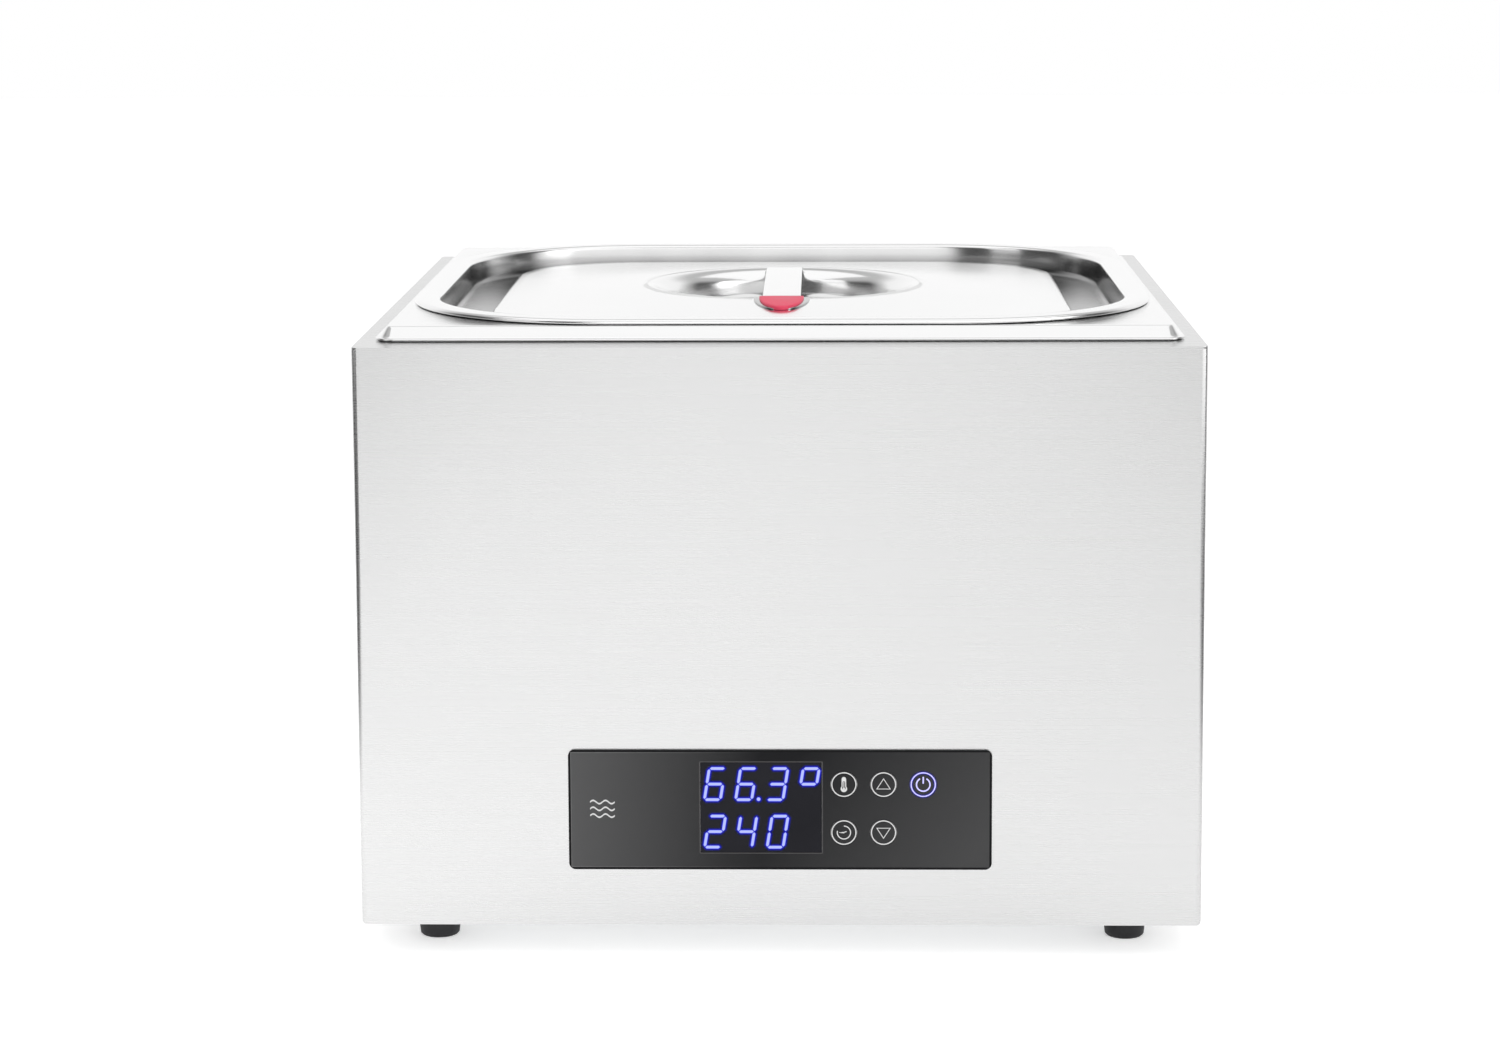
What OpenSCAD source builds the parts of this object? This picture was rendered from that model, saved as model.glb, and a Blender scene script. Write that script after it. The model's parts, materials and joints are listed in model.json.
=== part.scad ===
// Countertop sous vide water bath: a drawn tank in a folded steel casing,
// heated from below, with a touch-key control panel and a lift-off lid.
// Origin: under the middle of the object, on the surface it stands on.
// +Z is up and the control panel faces -Y.

/* [Casing] */
// Width of the casing, left to right
case_w = 375; // [330:1:460]
// Depth of the casing, front to back
case_d = 370; // [325:1:460]
// Height of the casing from its bottom edge to the deck
case_h = 260.5; // [216:0.5:330]
// Sheet thickness of the casing
case_t = 1; // [0.8:0.1:1.5]
// Outer radius of the upright folds
case_r = 2.5; // [1.6:0.1:6]
// Outer radius of the folds between the sides and the base
case_corner_r = 2; // [1.5:0.5:5]
// Width of the folded-in flanges
flange_w = 18; // [14:1:24]
// Depth of the deck's folded-down skirt
skirt_h = 14; // [8:1:20]

/* [Tank] */
// Deck showing at each side of the tank's lip
lip_side = 7.7; // [4:0.1:14]
// Deck showing in front of the tank's lip
lip_front = 17.5; // [6:0.5:30]
// Deck showing behind the tank's lip
lip_rear = 10; // [6:0.5:30]
// Flat edge of the lip outside the raised border
lip_flat = 2; // [1:0.1:4]
// Corner radius of the lip
lip_r = 9; // [4:0.5:20]
// Sideways run of the border's sloping edge
slope_run = 3.2; // [2:0.1:6]
// Height of the raised border above the deck
border_h = 6.5; // [5:0.1:12]
// Depth of the tank below its border
tank_depth = 150; // [110:1:165]
// Sheet thickness of the tank
tank_t = 1; // [0.8:0.1:1.5]
// Size of the bevel round the tank's floor
tank_bevel = 12; // [6:1:20]
// Thickness of the seal under the lip
gasket_t = 0.5; // [0.3:0.1:1]
// Width of the seal under the lip
gasket_w = 5; // [3:0.5:6]
// How far the deck reaches in under the lip
deck_under = 8; // [7.5:0.5:12]

/* [Lid] */
// Border showing at each side of the lid
rim_side = 2.1; // [1:0.1:8]
// Border showing in front of and behind the lid
rim_end = 2.9; // [1:0.1:8]
// Width of the lid's rim
rim_w = 12; // [9:0.5:16]
// Thickness of the lid's rim
rim_h = 2.5; // [2:0.1:4]
// Corner radius of the lid's rim
rim_r = 95.5; // [70:0.5:105]
// Sheet thickness of the lid
lid_t = 1; // [0.8:0.1:1.5]
// Width of the trough round the lid's middle
trough_w = 25; // [15:1:32]
// Depth of the trough below the rim's top
trough_depth = 13.5; // [9:0.5:20]
// Height of the middle panel's edge above the trough
panel_rise = 6.3; // [3:0.1:8]
// Corner radius of the middle panel
panel_r = 58; // [30:1:64]
// Height of the dome over the middle panel's edge
dome_h = 6.5; // [2:0.5:10]
// Gap all round between the lid and the tank's wall
lid_gap = 1.5; // [0.5:0.1:3]
// Gap between the lid's rim and the border it rests on
seat_gap = 0.05; // [0.02:0.01:0.2]

/* [Handle] */
// Outer radius of the round handle dish
dish_r = 66.7; // [50:0.1:80]
// Radius of the dish's rolled edge
dish_edge_r = 9; // [5:0.5:12]
// Depth of the dish below its edge
dish_depth = 14; // [12:0.5:20]
// Sheet thickness of the dish
dish_t = 1; // [0.8:0.1:1.5]
// Width of the strap handle
strap_w = 18; // [14:0.5:24]
// Thickness of the strap handle
strap_t = 1.5; // [1:0.1:3]
// Width of the strap's half-moon foot
foot_plate_w = 26.4; // [20:0.1:34]
// Length of the strap's half-moon foot
foot_plate_l = 30; // [16:1:40]
// Thickness of the half-moon foot
foot_plate_t = 0.8; // [0.5:0.1:1.5]
// How far the strap's far foot comes in over the dish's rolled edge
strap_foot_in = 6; // [4:0.1:6.5]
// How far the strap's near end lies on the lid
strap_lap = 3; // [1:0.5:6]
// Width of the thumb pad on the half-moon foot
pad_w = 20; // [14:0.5:26]
// Thickness of the thumb pad
pad_t = 1.2; // [0.8:0.1:2]

/* [Control panel] */
// Width of the control panel
panel_w = 188.2; // [180:0.2:240]
// Height of the control panel
panel_h = 54.6; // [50:0.2:60]
// Thickness of the control panel
panel_t = 1; // [0.8:0.1:2]
// Corner radius of the control panel
panel_corner_r = 3; // [1:0.5:6]
// Height of the control panel above the casing's bottom
panel_low = 25.8; // [20:0.1:60]
// Middle of the display window, from the middle of the panel
window_x = -8.4; // [-20:0.1:0]
// Width of the display window
window_w = 54.2; // [50:0.1:60]
// Height of the display window
window_h = 41.3; // [38:0.1:44]
// Distance from the panel's top to the display window
window_drop = 5.6; // [4:0.1:7]
// Clearance round the display window
window_gap = 0.1; // [0.05:0.01:0.2]
// How far the window overlaps the steel behind it
window_lap = 2; // [1:0.1:3]
// Radius of a key
key_r = 5.8; // [5:0.1:7]
// Clearance round a key
key_gap = 0.15; // [0.1:0.01:0.3]
// Thickness of a key's face
key_t = 0.5; // [0.4:0.05:0.6]
// Radius of a key's stem
stem_r = 3; // [2:0.1:4]
// How far a key moves in
key_travel = 0.4; // [0.2:0.05:0.5]
// Distance between keys in a row
key_pitch = 17.6; // [15:0.1:20]
// Distance between the two rows of keys
key_rows = 21.9; // [18:0.1:24]
// First column of keys, from the middle of the panel
key_x = 28.4; // [27:0.1:34]
// Distance from the panel's top to the first row of keys
key_drop = 15.7; // [13:0.1:18]
// Thickness of a display module
display_t = 7; // [6:0.1:9]
// Gap between the two display modules
display_gap = 2.2; // [1:0.1:3]

/* [Feet] */
// Height of the feet below the casing
foot_h = 15; // [10:0.5:30]
// Radius of a foot at its top
foot_r = 10.5; // [9:0.1:16]
// How much a foot narrows to its bottom
foot_taper = 1.6; // [0:0.1:3]
// Distance of the feet from the sides
foot_side = 31; // [30:0.5:60]
// Distance of the feet from the front and back
foot_end = 36.5; // [30:0.5:60]

/* [Fasteners] */
// Radius of the foot screws and studs
m4_r = 2; // [1.5:0.1:2.5]
// Radius of the casing screws
m3_r = 1.5; // [1.2:0.1:2]
// Radial clearance in a plain screw hole
hole_gap = 0.2; // [0.1:0.05:0.5]
// Radial clearance in a threaded hole
thread_gap = 0.05; // [0.02:0.01:0.1]
// Height of a casing screw's head
head_h = 1.4; // [1:0.1:2]
// Sideways place of the front and back base screws
base_screw_x = 88; // [40:1:140]
// Distance of the side base screws from the middle
side_screw_y = 74; // [30:1:120]

/* [Power inlet] */
// Place of the inlet, left to right
inlet_x = -110; // [-140:1:140]
// Height of the inlet above the casing's bottom
inlet_z = 48; // [35:1:90]
// Width of the inlet's flange
inlet_flange_w = 50; // [48:0.5:56]
// Height of the inlet's flange
inlet_flange_h = 23; // [22:0.5:28]
// Thickness of the inlet's flange
inlet_flange_t = 3; // [2:0.1:4]
// Width of the inlet's body
inlet_w = 27.4; // [27:0.1:28]
// Height of the inlet's body
inlet_h = 19.6; // [19:0.1:20]
// Length of the inlet's body behind its flange
inlet_len = 22; // [18:1:26]
// Distance between the inlet's two screws
inlet_screws_w = 40; // [40:0.1:44]

/* [Cooling slots] */
// Slots in each row
vent_count = 10; // [4:1:12]
// Width of a slot
vent_w = 3.2; // [2:0.1:4]
// Height of a slot
vent_h = 28; // [16:1:34]
// Steel left between the two rows
vent_bar = 12; // [6:1:20]
// Distance between the slots in the back
vent_pitch = 9; // [7:0.5:10]
// Distance between the slots in the base
base_vent_pitch = 12; // [9:0.5:14]
// Length of a slot in the base
base_vent_l = 60; // [30:1:80]
// First slot in the back, from the middle
vent_x = 30; // [10:1:40]
// Height of the lower row's middle above the casing's bottom
vent_low = 34; // [30:1:60]

/* [Heating] */
// Thickness of the heating mats
mat_t = 2; // [1.5:0.1:4]
// Width of the base heating mat
mat_w = 220; // [120:1:240]
// Depth of the base heating mat
mat_d = 200; // [120:1:220]
// Height of the side heating mats
side_mat_h = 60; // [30:1:70]
// Thickness of the insulation boards
wool_t = 10; // [6:1:14]
// Thickness of the clamping plate under the tank
clamp_t = 1.5; // [1:0.1:3]

/* [False bottom] */
// Height of the perforated tray above the tank's floor
tray_h = 20; // [12:1:40]
// Thickness of the perforated tray
tray_t = 1.2; // [0.8:0.1:2]
// Gap between the tray and the tank's wall
tray_gap = 14; // [12:0.5:24]
// Radius of the tray's holes
tray_hole_r = 6; // [3:0.5:10]
// Distance between the tray's holes
tray_pitch = 36; // [28:1:50]

/* [Power board] */
// Width of the power board
board_w = 150; // [120:1:200]
// Depth of the power board
board_d = 96; // [90:1:140]
// Thickness of the circuit boards
board_t = 1.6; // [1:0.1:2.4]
// Height of the pillars under the power board
pillar_h = 8; // [5:1:14]

/* [Hidden] */
$fn = 64;

// Main planes
front_y = -case_d/2 + (panel_t - inlet_flange_t)/2;
rear_y = front_y + case_d;
mid_y = (front_y + rear_y)/2;
low_z = foot_h;
deck_z = low_z + case_h;
floor_z = low_z + 2*case_t;
eps = 0.01;

// Tank and lid outlines
lip_w = case_w - 2*lip_side;
lip_d = case_d - lip_front - lip_rear;
bath_y = front_y + lip_front + lip_d/2;
border_w = lip_w - 2*(lip_flat + slope_run);
border_d = lip_d - 2*(lip_flat + slope_run);
border_z = deck_z + border_h;
rim_len_x = border_w - 2*rim_side;
rim_len_y = border_d - 2*rim_end;
well_w = rim_len_x - 2*rim_w;
well_d = rim_len_y - 2*rim_w;
well_r = rim_r - rim_w;
tank_w = well_w + 2*(lid_t + lid_gap);
tank_d = well_d + 2*(lid_t + lid_gap);
tank_r = well_r + lid_t + lid_gap;
tank_floor_z = border_z - tank_depth;
tank_low_z = tank_floor_z - tank_t;
lid_z = border_z + seat_gap;
lid_top_z = lid_z + rim_h;
trough_z = lid_top_z - trough_depth;
mid_w = well_w - 2*trough_w;
mid_d = well_d - 2*trough_w;
edge_z = trough_z + panel_rise;
dome_run = (mid_w + mid_d)/4;
dome_r = (dome_run*dome_run + dome_h*dome_h)/(2*dome_h);
dome_top_z = edge_z + dome_h;
dish_z = dome_top_z - dome_r + sqrt(dome_r*dome_r - dish_r*dish_r);
weld_in = min(strap_foot_in, dish_edge_r*0.7);
weld_gap = 0.15;

// Control panel
panel_top_z = low_z + panel_low + panel_h;
panel_mid_z = panel_top_z - panel_h/2;
window_z = panel_top_z - window_drop - window_h/2;
display_y = front_y + case_t + 0.5;
display_h = (window_h - display_gap)/2;
display_w = window_w - 2*window_gap;
board_y = display_y + display_t;
plunger_y = front_y + case_t + 2.6;
plunger_r = 1.8;
switch_h = 3.6;
key_collar_r = stem_r + 1.5;
key_collar_t = 0.8;
control_w = 140;
control_h = window_h + 14;
control_x = window_x + control_w/2 - window_w/2 - 12;
control_post = 5;
KEYS = [[0, 0], [1, 0], [2, 0], [0, 1], [1, 1]];

// Fasteners
m4_head_r = m4_r*1.8;
m4_head_h = 2.6;
m4_nut_r = m4_r*1.95;
m4_nut_h = 3.2;
m3_head_r = m3_r + 2;
m3_nut_r = m3_r*2.1;
m3_nut_h = 2.4;
screw_len = 7;
foot_recess_r = m4_head_r + 1.2;
foot_recess_h = 7;
edge_in = flange_w/2;
rear_screw_z = [edge_in + 14, case_h/2, case_h - edge_in - skirt_h];
FEET = [[-1, -1], [1, -1], [-1, 1], [1, 1]];

// Heating stack under the tank
mat_z = tank_low_z - mat_t;
wool_z = mat_z - wool_t;
clamp_z = wool_z - clamp_t;
clamp_w = mat_w + 36;
clamp_d = mat_d + 24;
stud_x = clamp_w/2 - 7;
stud_y = clamp_d/2 - 7;
stud_end = 7;
side_run_y = tank_d - 2*tank_r;
side_run_x = tank_w - 2*tank_r;
side_low_z = tank_floor_z + tank_bevel + 4;
side_high_z = deck_z - skirt_h - 4;
probe_r = 2.5;
probe_len = 36;
cutout_r = 8;

// Power board
board_x = 25;
board_mid_y = rear_y - board_d/2 - 70;
board_z = floor_z + pillar_h;
parts_z = board_z + board_t;
pillar_r = 4;
pillar_x = board_w/2 - 6;
pillar_y = board_d/2 - 6;
block_w = 56;
block_h = 14;
block_d = 12;
block_y = board_mid_y + board_d/2 - block_d/2 - 8;
relay_d = 13;
sink_fins = 7;
mains_lead_r = 1.2;
heater_lead_r = mat_t*0.45;
earth_x = -120;
earth_y = rear_y - 110;

// A rectangle with round corners, centred
module round_rect(w, d, r) {
    square([w - 2*r, d], center = true);
    square([w, d - 2*r], center = true);
    for (sx = [-1, 1], sy = [-1, 1])
        translate([sx*(w/2 - r), sy*(d/2 - r)]) circle(r);
}

// A round-cornered slab between two heights
module slab(w, d, r, z0, z1) {
    translate([0, 0, z0]) linear_extrude(z1 - z0) round_rect(w, d, r);
}

// A round-cornered wall, t thick inwards from its outer size
module ring(w, d, r, t, z0, z1) {
    translate([0, 0, z0]) linear_extrude(z1 - z0) difference() {
        round_rect(w, d, r);
        round_rect(w - 2*t, d - 2*t, max(r - t, 0.5));
    }
}

// A slab that widens by run on every side from its bottom to its top
module flared(w, d, r, run, z0, z1) {
    translate([0, 0, z1]) mirror([0, 0, 1])
        linear_extrude(z1 - z0, scale = [(w - 2*run)/w, (d - 2*run)/d], slices = 1)
            round_rect(w, d, r, $fn = 48);
}

// A slab that narrows by run on every side from its bottom to its top
module tapered(w, d, r, run, z0, z1) {
    translate([0, 0, z0])
        linear_extrude(z1 - z0, scale = [(w - 2*run)/w, (d - 2*run)/d], slices = 1)
            round_rect(w, d, r, $fn = 32);
}

// A cylinder that points to the back from y0 to y1
module along_y(x, z, r, y0, y1) {
    translate([x, y0, z]) rotate([-90, 0, 0]) cylinder(y1 - y0, r, r);
}

// A box centred on x and z, from y0 to y1
module block_y(x, z, w, h, y0, y1) {
    translate([x - w/2, y0, z - h/2]) cube([w, y1 - y0, h]);
}

// A round-cornered plate standing on edge, from y0 to y1
module plate_y(x, z, w, h, r, y0, y1) {
    translate([x, y1, z]) rotate([90, 0, 0]) linear_extrude(y1 - y0) round_rect(w, h, r);
}

// A wire of round section through a list of points
module wire(points, r) {
    for (i = [0 : len(points) - 2]) {
        step = points[i + 1] - points[i];
        turn = atan2(step[1], step[0]);
        tilt = acos(step[2]/norm(step));
        translate(points[i]) rotate([0, tilt, turn]) cylinder(norm(step), r, r, $fn = 16);
        if (i > 0) translate(points[i]) sphere(r, $fn = 16);
    }
}

// Where each key sits
function key_at(k) = [key_x + k[0]*key_pitch, panel_top_z - key_drop - k[1]*key_rows];

// Casing and covers

module casing_wrap() color("gainsboro") difference() {
    intersection() {
        union() {
            translate([0, mid_y - case_t/2, 0])
                ring(case_w, case_d - case_t, case_r, case_t, low_z, deck_z - case_t);
            translate([0, mid_y - case_t/2, 0])
                slab(case_w, case_d - case_t, case_r, low_z, low_z + case_t);
            for (s = [-1, 1])
                translate([s*(case_w/2 - case_t/2) - case_t/2, mid_y, low_z])
                    cube([case_t, case_d/2, case_h - case_t]);
        }
        plate_y(0, deck_z, case_w, 2*case_h, case_corner_r, front_y, rear_y);
    }
    // the flanges stay round the open back and the open base
    block_y(0, low_z + case_h/2, case_w - 2*flange_w, case_h - 2*flange_w,
        rear_y - 3*case_t, rear_y);
    translate([-case_w/2 + flange_w, front_y + flange_w, low_z - eps])
        cube([case_w - 2*flange_w, case_d - 2*flange_w, 2*case_t]);
    block_y(window_x, window_z, window_w - 2*window_lap, window_h - 2*window_lap,
        front_y - eps, front_y + case_t + eps);
    for (k = KEYS) along_y(key_at(k)[0], key_at(k)[1], stem_r + 2*hole_gap,
        front_y - eps, front_y + case_t + eps);
    base_screw_holes(m3_r + hole_gap);
    rear_screw_holes(m3_r + thread_gap);
}

module top_deck() color("gainsboro") difference() {
    union() {
        translate([0, mid_y, 0])
            slab(case_w, case_d, case_r, deck_z - case_t, deck_z);
        translate([0, mid_y, 0]) difference() {
            slab(case_w - 2*case_t - 0.2, case_d - 4*case_t - 0.2, case_r - case_t/2,
                deck_z - skirt_h, deck_z - case_t);
            slab(case_w - 4*case_t - 0.2, case_d - 6*case_t - 0.2, case_r - case_t,
                deck_z - skirt_h - eps, deck_z - case_t);
        }
    }
    translate([0, bath_y, 0]) slab(lip_w - 2*deck_under, lip_d - 2*deck_under, lip_r,
        deck_z - 2*case_t, deck_z + eps);
}

module base_screw_at() {
    for (s = [-1, 1]) {
        translate([s*base_screw_x, front_y + edge_in, low_z]) children();
        translate([s*base_screw_x, rear_y - case_t - edge_in, low_z]) children();
        for (e = [-1, 1])
            translate([s*(case_w/2 - edge_in), mid_y + e*side_screw_y, low_z]) children();
    }
}

module base_screw_holes(r) {
    base_screw_at() translate([0, 0, -eps]) cylinder(floor_z - low_z + 2*eps, r, r);
}

module rear_screw_at() {
    for (s = [-1, 1], z = rear_screw_z) translate([s*(case_w/2 - edge_in), rear_y, low_z + z])
        rotate([-90, 0, 0]) children();
}

module rear_screw_holes(r) {
    rear_screw_at() translate([0, 0, -3*case_t]) cylinder(3*case_t + eps, r, r);
}

module rear_panel() color("silver") difference() {
    block_y(0, low_z + case_t + (case_h - 2*case_t)/2, case_w - 2*case_t - 0.4,
        case_h - 2*case_t - 0.4, rear_y - case_t, rear_y);
    rear_screw_holes(m3_r + hole_gap);
    block_y(inlet_x, low_z + inlet_z, inlet_w + 0.4, inlet_h + 0.4,
        rear_y - case_t - eps, rear_y + eps);
    for (s = [-1, 1]) along_y(inlet_x + s*inlet_screws_w/2, low_z + inlet_z, m3_r + hole_gap,
        rear_y - case_t - eps, rear_y + eps);
    // two fields of upright cooling slots
    for (row = [0, 1], i = [0 : vent_count - 1])
        block_y(vent_x + i*vent_pitch, low_z + vent_low + row*(vent_h + vent_bar), vent_w, vent_h,
            rear_y - case_t - eps, rear_y + eps);
}

module base_plate() color("silver") difference() {
    translate([0, mid_y - case_t/2, 0]) slab(case_w - 2*case_t - 1, case_d - 3*case_t - 1,
        case_r, low_z + case_t, floor_z);
    base_screw_holes(m3_r + thread_gap);
    foot_at() translate([0, 0, -eps]) cylinder(3*case_t, m4_r + hole_gap, m4_r + hole_gap);
    translate([earth_x, earth_y, low_z])
        cylinder(3*case_t, m4_r + thread_gap, m4_r + thread_gap);
    for (i = [0 : vent_count - 1]) translate([i*base_vent_pitch - 110, front_y + 60, low_z])
        cube([vent_w, base_vent_l, 3*case_t]);
}

module foot_at() {
    for (f = FEET) translate([f[0]*(case_w/2 - foot_side),
        mid_y + f[1]*(case_d/2 - foot_end), low_z]) children();
}

// Tank and its seal

module tank_gasket() color("dimgray") translate([0, bath_y, 0])
    ring(lip_w - 2, lip_d - 2, lip_r, gasket_w, deck_z, deck_z + gasket_t);

module tank() color("whitesmoke") translate([0, bath_y, 0]) {
    lip_z = deck_z + gasket_t;
    difference() {
        union() {
            slab(lip_w, lip_d, lip_r, lip_z, lip_z + tank_t);
            tapered(lip_w - 2*lip_flat, lip_d - 2*lip_flat, lip_r - lip_flat, slope_run,
                lip_z + tank_t, border_z);
        }
        tapered(lip_w - 2*lip_flat - 2*tank_t, lip_d - 2*lip_flat - 2*tank_t,
            lip_r - lip_flat - tank_t, slope_run, lip_z - eps, border_z - tank_t);
        slab(tank_w, tank_d, tank_r, deck_z, border_z + eps);
    }
    ring(tank_w + 2*tank_t, tank_d + 2*tank_t, tank_r + tank_t, tank_t,
        tank_floor_z + tank_bevel, border_z);
    difference() {
        flared(tank_w + 2*tank_t, tank_d + 2*tank_t, tank_r + tank_t, tank_bevel,
            tank_low_z, tank_floor_z + tank_bevel);
        flared(tank_w, tank_d, tank_r, tank_bevel, tank_floor_z,
            tank_floor_z + tank_bevel + eps);
    }
}

// Heating stack: mat, insulation and clamping plate hang on four welded studs

module stud_at(z) {
    for (sx = [-1, 1], sy = [-1, 1]) translate([sx*stud_x, bath_y + sy*stud_y, z]) children();
}

module stud_holes(z0, z1) {
    stud_at(z0) cylinder(z1 - z0, m4_r + hole_gap, m4_r + hole_gap);
}

module heater_mat_base() color("orangered")
    translate([0, bath_y, 0]) slab(mat_w, mat_d, 12, mat_z, tank_low_z);

module heater_mats_side() color("orangered") for (s = [-1, 1])
    translate([s*(tank_w/2 + tank_t + mat_t/2), bath_y, side_low_z + side_mat_h/2 + 8])
        rotate([0, 90, 0])
        linear_extrude(mat_t, center = true) round_rect(side_mat_h, side_run_y - 16, 6);

module insulation_base() color("khaki") difference() {
    translate([0, bath_y, 0]) slab(clamp_w, clamp_d, 14, wool_z, mat_z);
    stud_holes(wool_z - eps, mat_z + eps);
}

module insulation_sides() color("khaki") {
    for (s = [-1, 1]) {
        translate([s*(tank_w/2 + tank_t + mat_t + 0.5 + wool_t/2) - wool_t/2,
            bath_y - side_run_y/2, side_low_z])
            cube([wool_t, side_run_y, side_high_z - side_low_z]);
        translate([-side_run_x/2, bath_y + s*(tank_d/2 + tank_t + 0.5 + wool_t/2) - wool_t/2,
            side_low_z])
            cube([side_run_x, wool_t, side_high_z - side_low_z]);
    }
}

module clamp_plate() color("lightsteelblue") difference() {
    translate([0, bath_y, 0]) slab(clamp_w, clamp_d, 14, clamp_z, wool_z);
    stud_holes(clamp_z - eps, wool_z + eps);
}

module tank_studs() color("silver")
    stud_at(clamp_z - stud_end) cylinder(tank_low_z - clamp_z + stud_end, m4_r, m4_r);

// A hexagon nut on a thread of radius r, standing on z = 0
module hex_nut(r, across_r, h) {
    difference() {
        cylinder(h, across_r, across_r, $fn = 6);
        translate([0, 0, -eps]) cylinder(h + 2*eps, r + thread_gap, r + thread_gap);
    }
}

module tank_nuts() color("silver")
    stud_at(clamp_z - m4_nut_h) hex_nut(m4_r, m4_nut_r, m4_nut_h);

// Sensors under the tank, in front of the heating stack

module temperature_probe() color("lightgray")
    translate([-50, bath_y - clamp_d/2 - probe_r - 1.5, tank_low_z - probe_r])
        rotate([0, 90, 0]) cylinder(probe_len, probe_r, probe_r);

module probe_clip() color("silver")
    translate([-50 + probe_len/2 - 4, bath_y - clamp_d/2 - probe_r - 1.5, tank_low_z]) {
        difference() {
            translate([0, -probe_r - 1, -2*probe_r - 1]) cube([8, 2*probe_r + 2, 2*probe_r + 1]);
            translate([-1, 0, -probe_r]) rotate([0, 90, 0]) cylinder(10, probe_r + 0.02, probe_r + 0.02);
            translate([-1, -probe_r, -probe_r]) cube([10, 2*probe_r, probe_r + 1]);
        }
        translate([0, -probe_r - 7, -1]) cube([8, 6, 1]);
    }

module safety_cutout() color("saddlebrown")
    translate([60, bath_y - clamp_d/2 - cutout_r - 2, tank_low_z]) {
        translate([0, 0, -3]) cylinder(3, cutout_r, cutout_r);
        translate([0, 0, -10]) cylinder(7, cutout_r - 1, cutout_r - 1);
        for (s = [-1, 1]) translate([s*4 - 0.4, -3, -17]) cube([0.8, 6, 7]);
    }

// Power board on four pillars over the base plate

module pillar_at(z) {
    for (sx = [-1, 1], sy = [-1, 1])
        translate([board_x + sx*pillar_x, board_mid_y + sy*pillar_y, z]) children();
}

module board_pillars() color("goldenrod") pillar_at(floor_z) difference() {
    cylinder(pillar_h, pillar_r, pillar_r);
    translate([0, 0, pillar_h - 5]) cylinder(5 + eps, m3_r + thread_gap, m3_r + thread_gap);
}

module board_screws() color("silver") pillar_at(parts_z) {
    cylinder(1.6, m3_head_r - 0.5, m3_head_r - 0.5);
    translate([0, 0, -board_t - 4]) cylinder(board_t + 4, m3_r, m3_r);
}

module power_board() color("darkgreen") difference() {
    translate([board_x - board_w/2, board_mid_y - board_d/2, board_z])
        cube([board_w, board_d, board_t]);
    pillar_at(board_z - eps) cylinder(board_t + 2*eps, m3_r + hole_gap, m3_r + hole_gap);
}

module on_board(x, y) {
    translate([board_x + x*board_w/2, board_mid_y + y*board_d/2, parts_z]) children();
}

module transformer() color("orange") on_board(-0.45, 0.05) {
    translate([-21, -17, 0]) cube([42, 34, 6]);
    translate([-21, -11, 6]) cube([42, 22, 24]);
    translate([-14, -17, 6]) cube([28, 6, 20]);
    translate([-14, 11, 6]) cube([28, 6, 20]);
}

module relays() color("royalblue") for (i = [0, 1])
    on_board(0.1, -0.3 + i*0.4) translate([-14.5, -relay_d/2, 0]) cube([29, relay_d, 26]);

module heat_sink() color("slategray") on_board(0.62, -0.1) {
    translate([-1.5, -30, 0]) cube([3, 60, 36]);
    for (i = [0 : sink_fins - 1]) translate([1.5, -30 + i*58.8/(sink_fins - 1), 0])
        cube([14, 1.2, 36]);
}

module terminal_block() color("seagreen") difference() {
    translate([board_x - block_w/2, block_y - block_d/2, parts_z]) cube([block_w, block_d, block_h]);
    for (i = [0 : 4]) translate([board_x - block_w/2 + 6 + i*11, block_y, parts_z + 4])
        cylinder(block_h, 2.4, 2.4);
}

module filter_parts() color("gold") {
    on_board(-0.75, -0.72) cylinder(20, 6.5, 6.5);
    on_board(-0.5, -0.72) cylinder(20, 6.5, 6.5);
    on_board(-0.15, -0.72) translate([-8, -5, 0]) cube([16, 10, 15]);
}

// Control board behind the panel

module control_post_at(y) {
    for (sx = [-1, 1], sz = [-1, 1])
        translate([control_x + sx*(control_w/2 - control_post), y,
            window_z + sz*(control_h/2 - control_post)]) rotate([-90, 0, 0]) children();
}

module control_board() color("darkgreen") difference() {
    block_y(control_x, window_z, control_w, control_h, board_y, board_y + board_t);
    control_post_at(board_y - eps) cylinder(board_t + 2*eps, m3_r + hole_gap, m3_r + hole_gap);
}

module control_studs() color("silver") control_post_at(front_y + case_t) {
    cylinder(display_t + 0.5, 3, 3);
    cylinder(display_t + 0.5 + board_t + m3_nut_h + 1.5, m3_r, m3_r);
}

module control_nuts() color("silver")
    control_post_at(board_y + board_t) hex_nut(m3_r, m3_nut_r, m3_nut_h);

module display_at(row) {
    block_y(window_x, window_z + (0.5 - row)*(display_h + display_gap), display_w, display_h,
        display_y, board_y);
}

module display_upper() color("darkslateblue") display_at(0);

module display_lower() color("darkslateblue") display_at(1);

module key_switches() color("dimgray") for (k = KEYS) {
    block_y(key_at(k)[0], key_at(k)[1], 6, 6, board_y - switch_h, board_y);
    along_y(key_at(k)[0], key_at(k)[1], plunger_r, plunger_y, board_y - switch_h);
}

module control_chip() color("black") {
    block_y(control_x + 10, window_z, 12, 12, board_y + board_t, board_y + board_t + 1.6);
    block_y(control_x - 35, window_z + 8, 30, 8, board_y + board_t, board_y + board_t + 7);
}

// Panel, window and keys

module panel_overlay() color("black") difference() {
    plate_y(0, panel_mid_z, panel_w, panel_h, panel_corner_r, front_y - panel_t, front_y);
    block_y(window_x, window_z, window_w, window_h, front_y - panel_t - eps, front_y + eps);
    for (k = KEYS) along_y(key_at(k)[0], key_at(k)[1], key_r + key_gap,
        front_y - panel_t - eps, front_y + eps);
}

module display_window() color("darkslategray")
    block_y(window_x, window_z, window_w - 2*window_gap, window_h - 2*window_gap,
        front_y - panel_t + window_gap, front_y);

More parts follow.
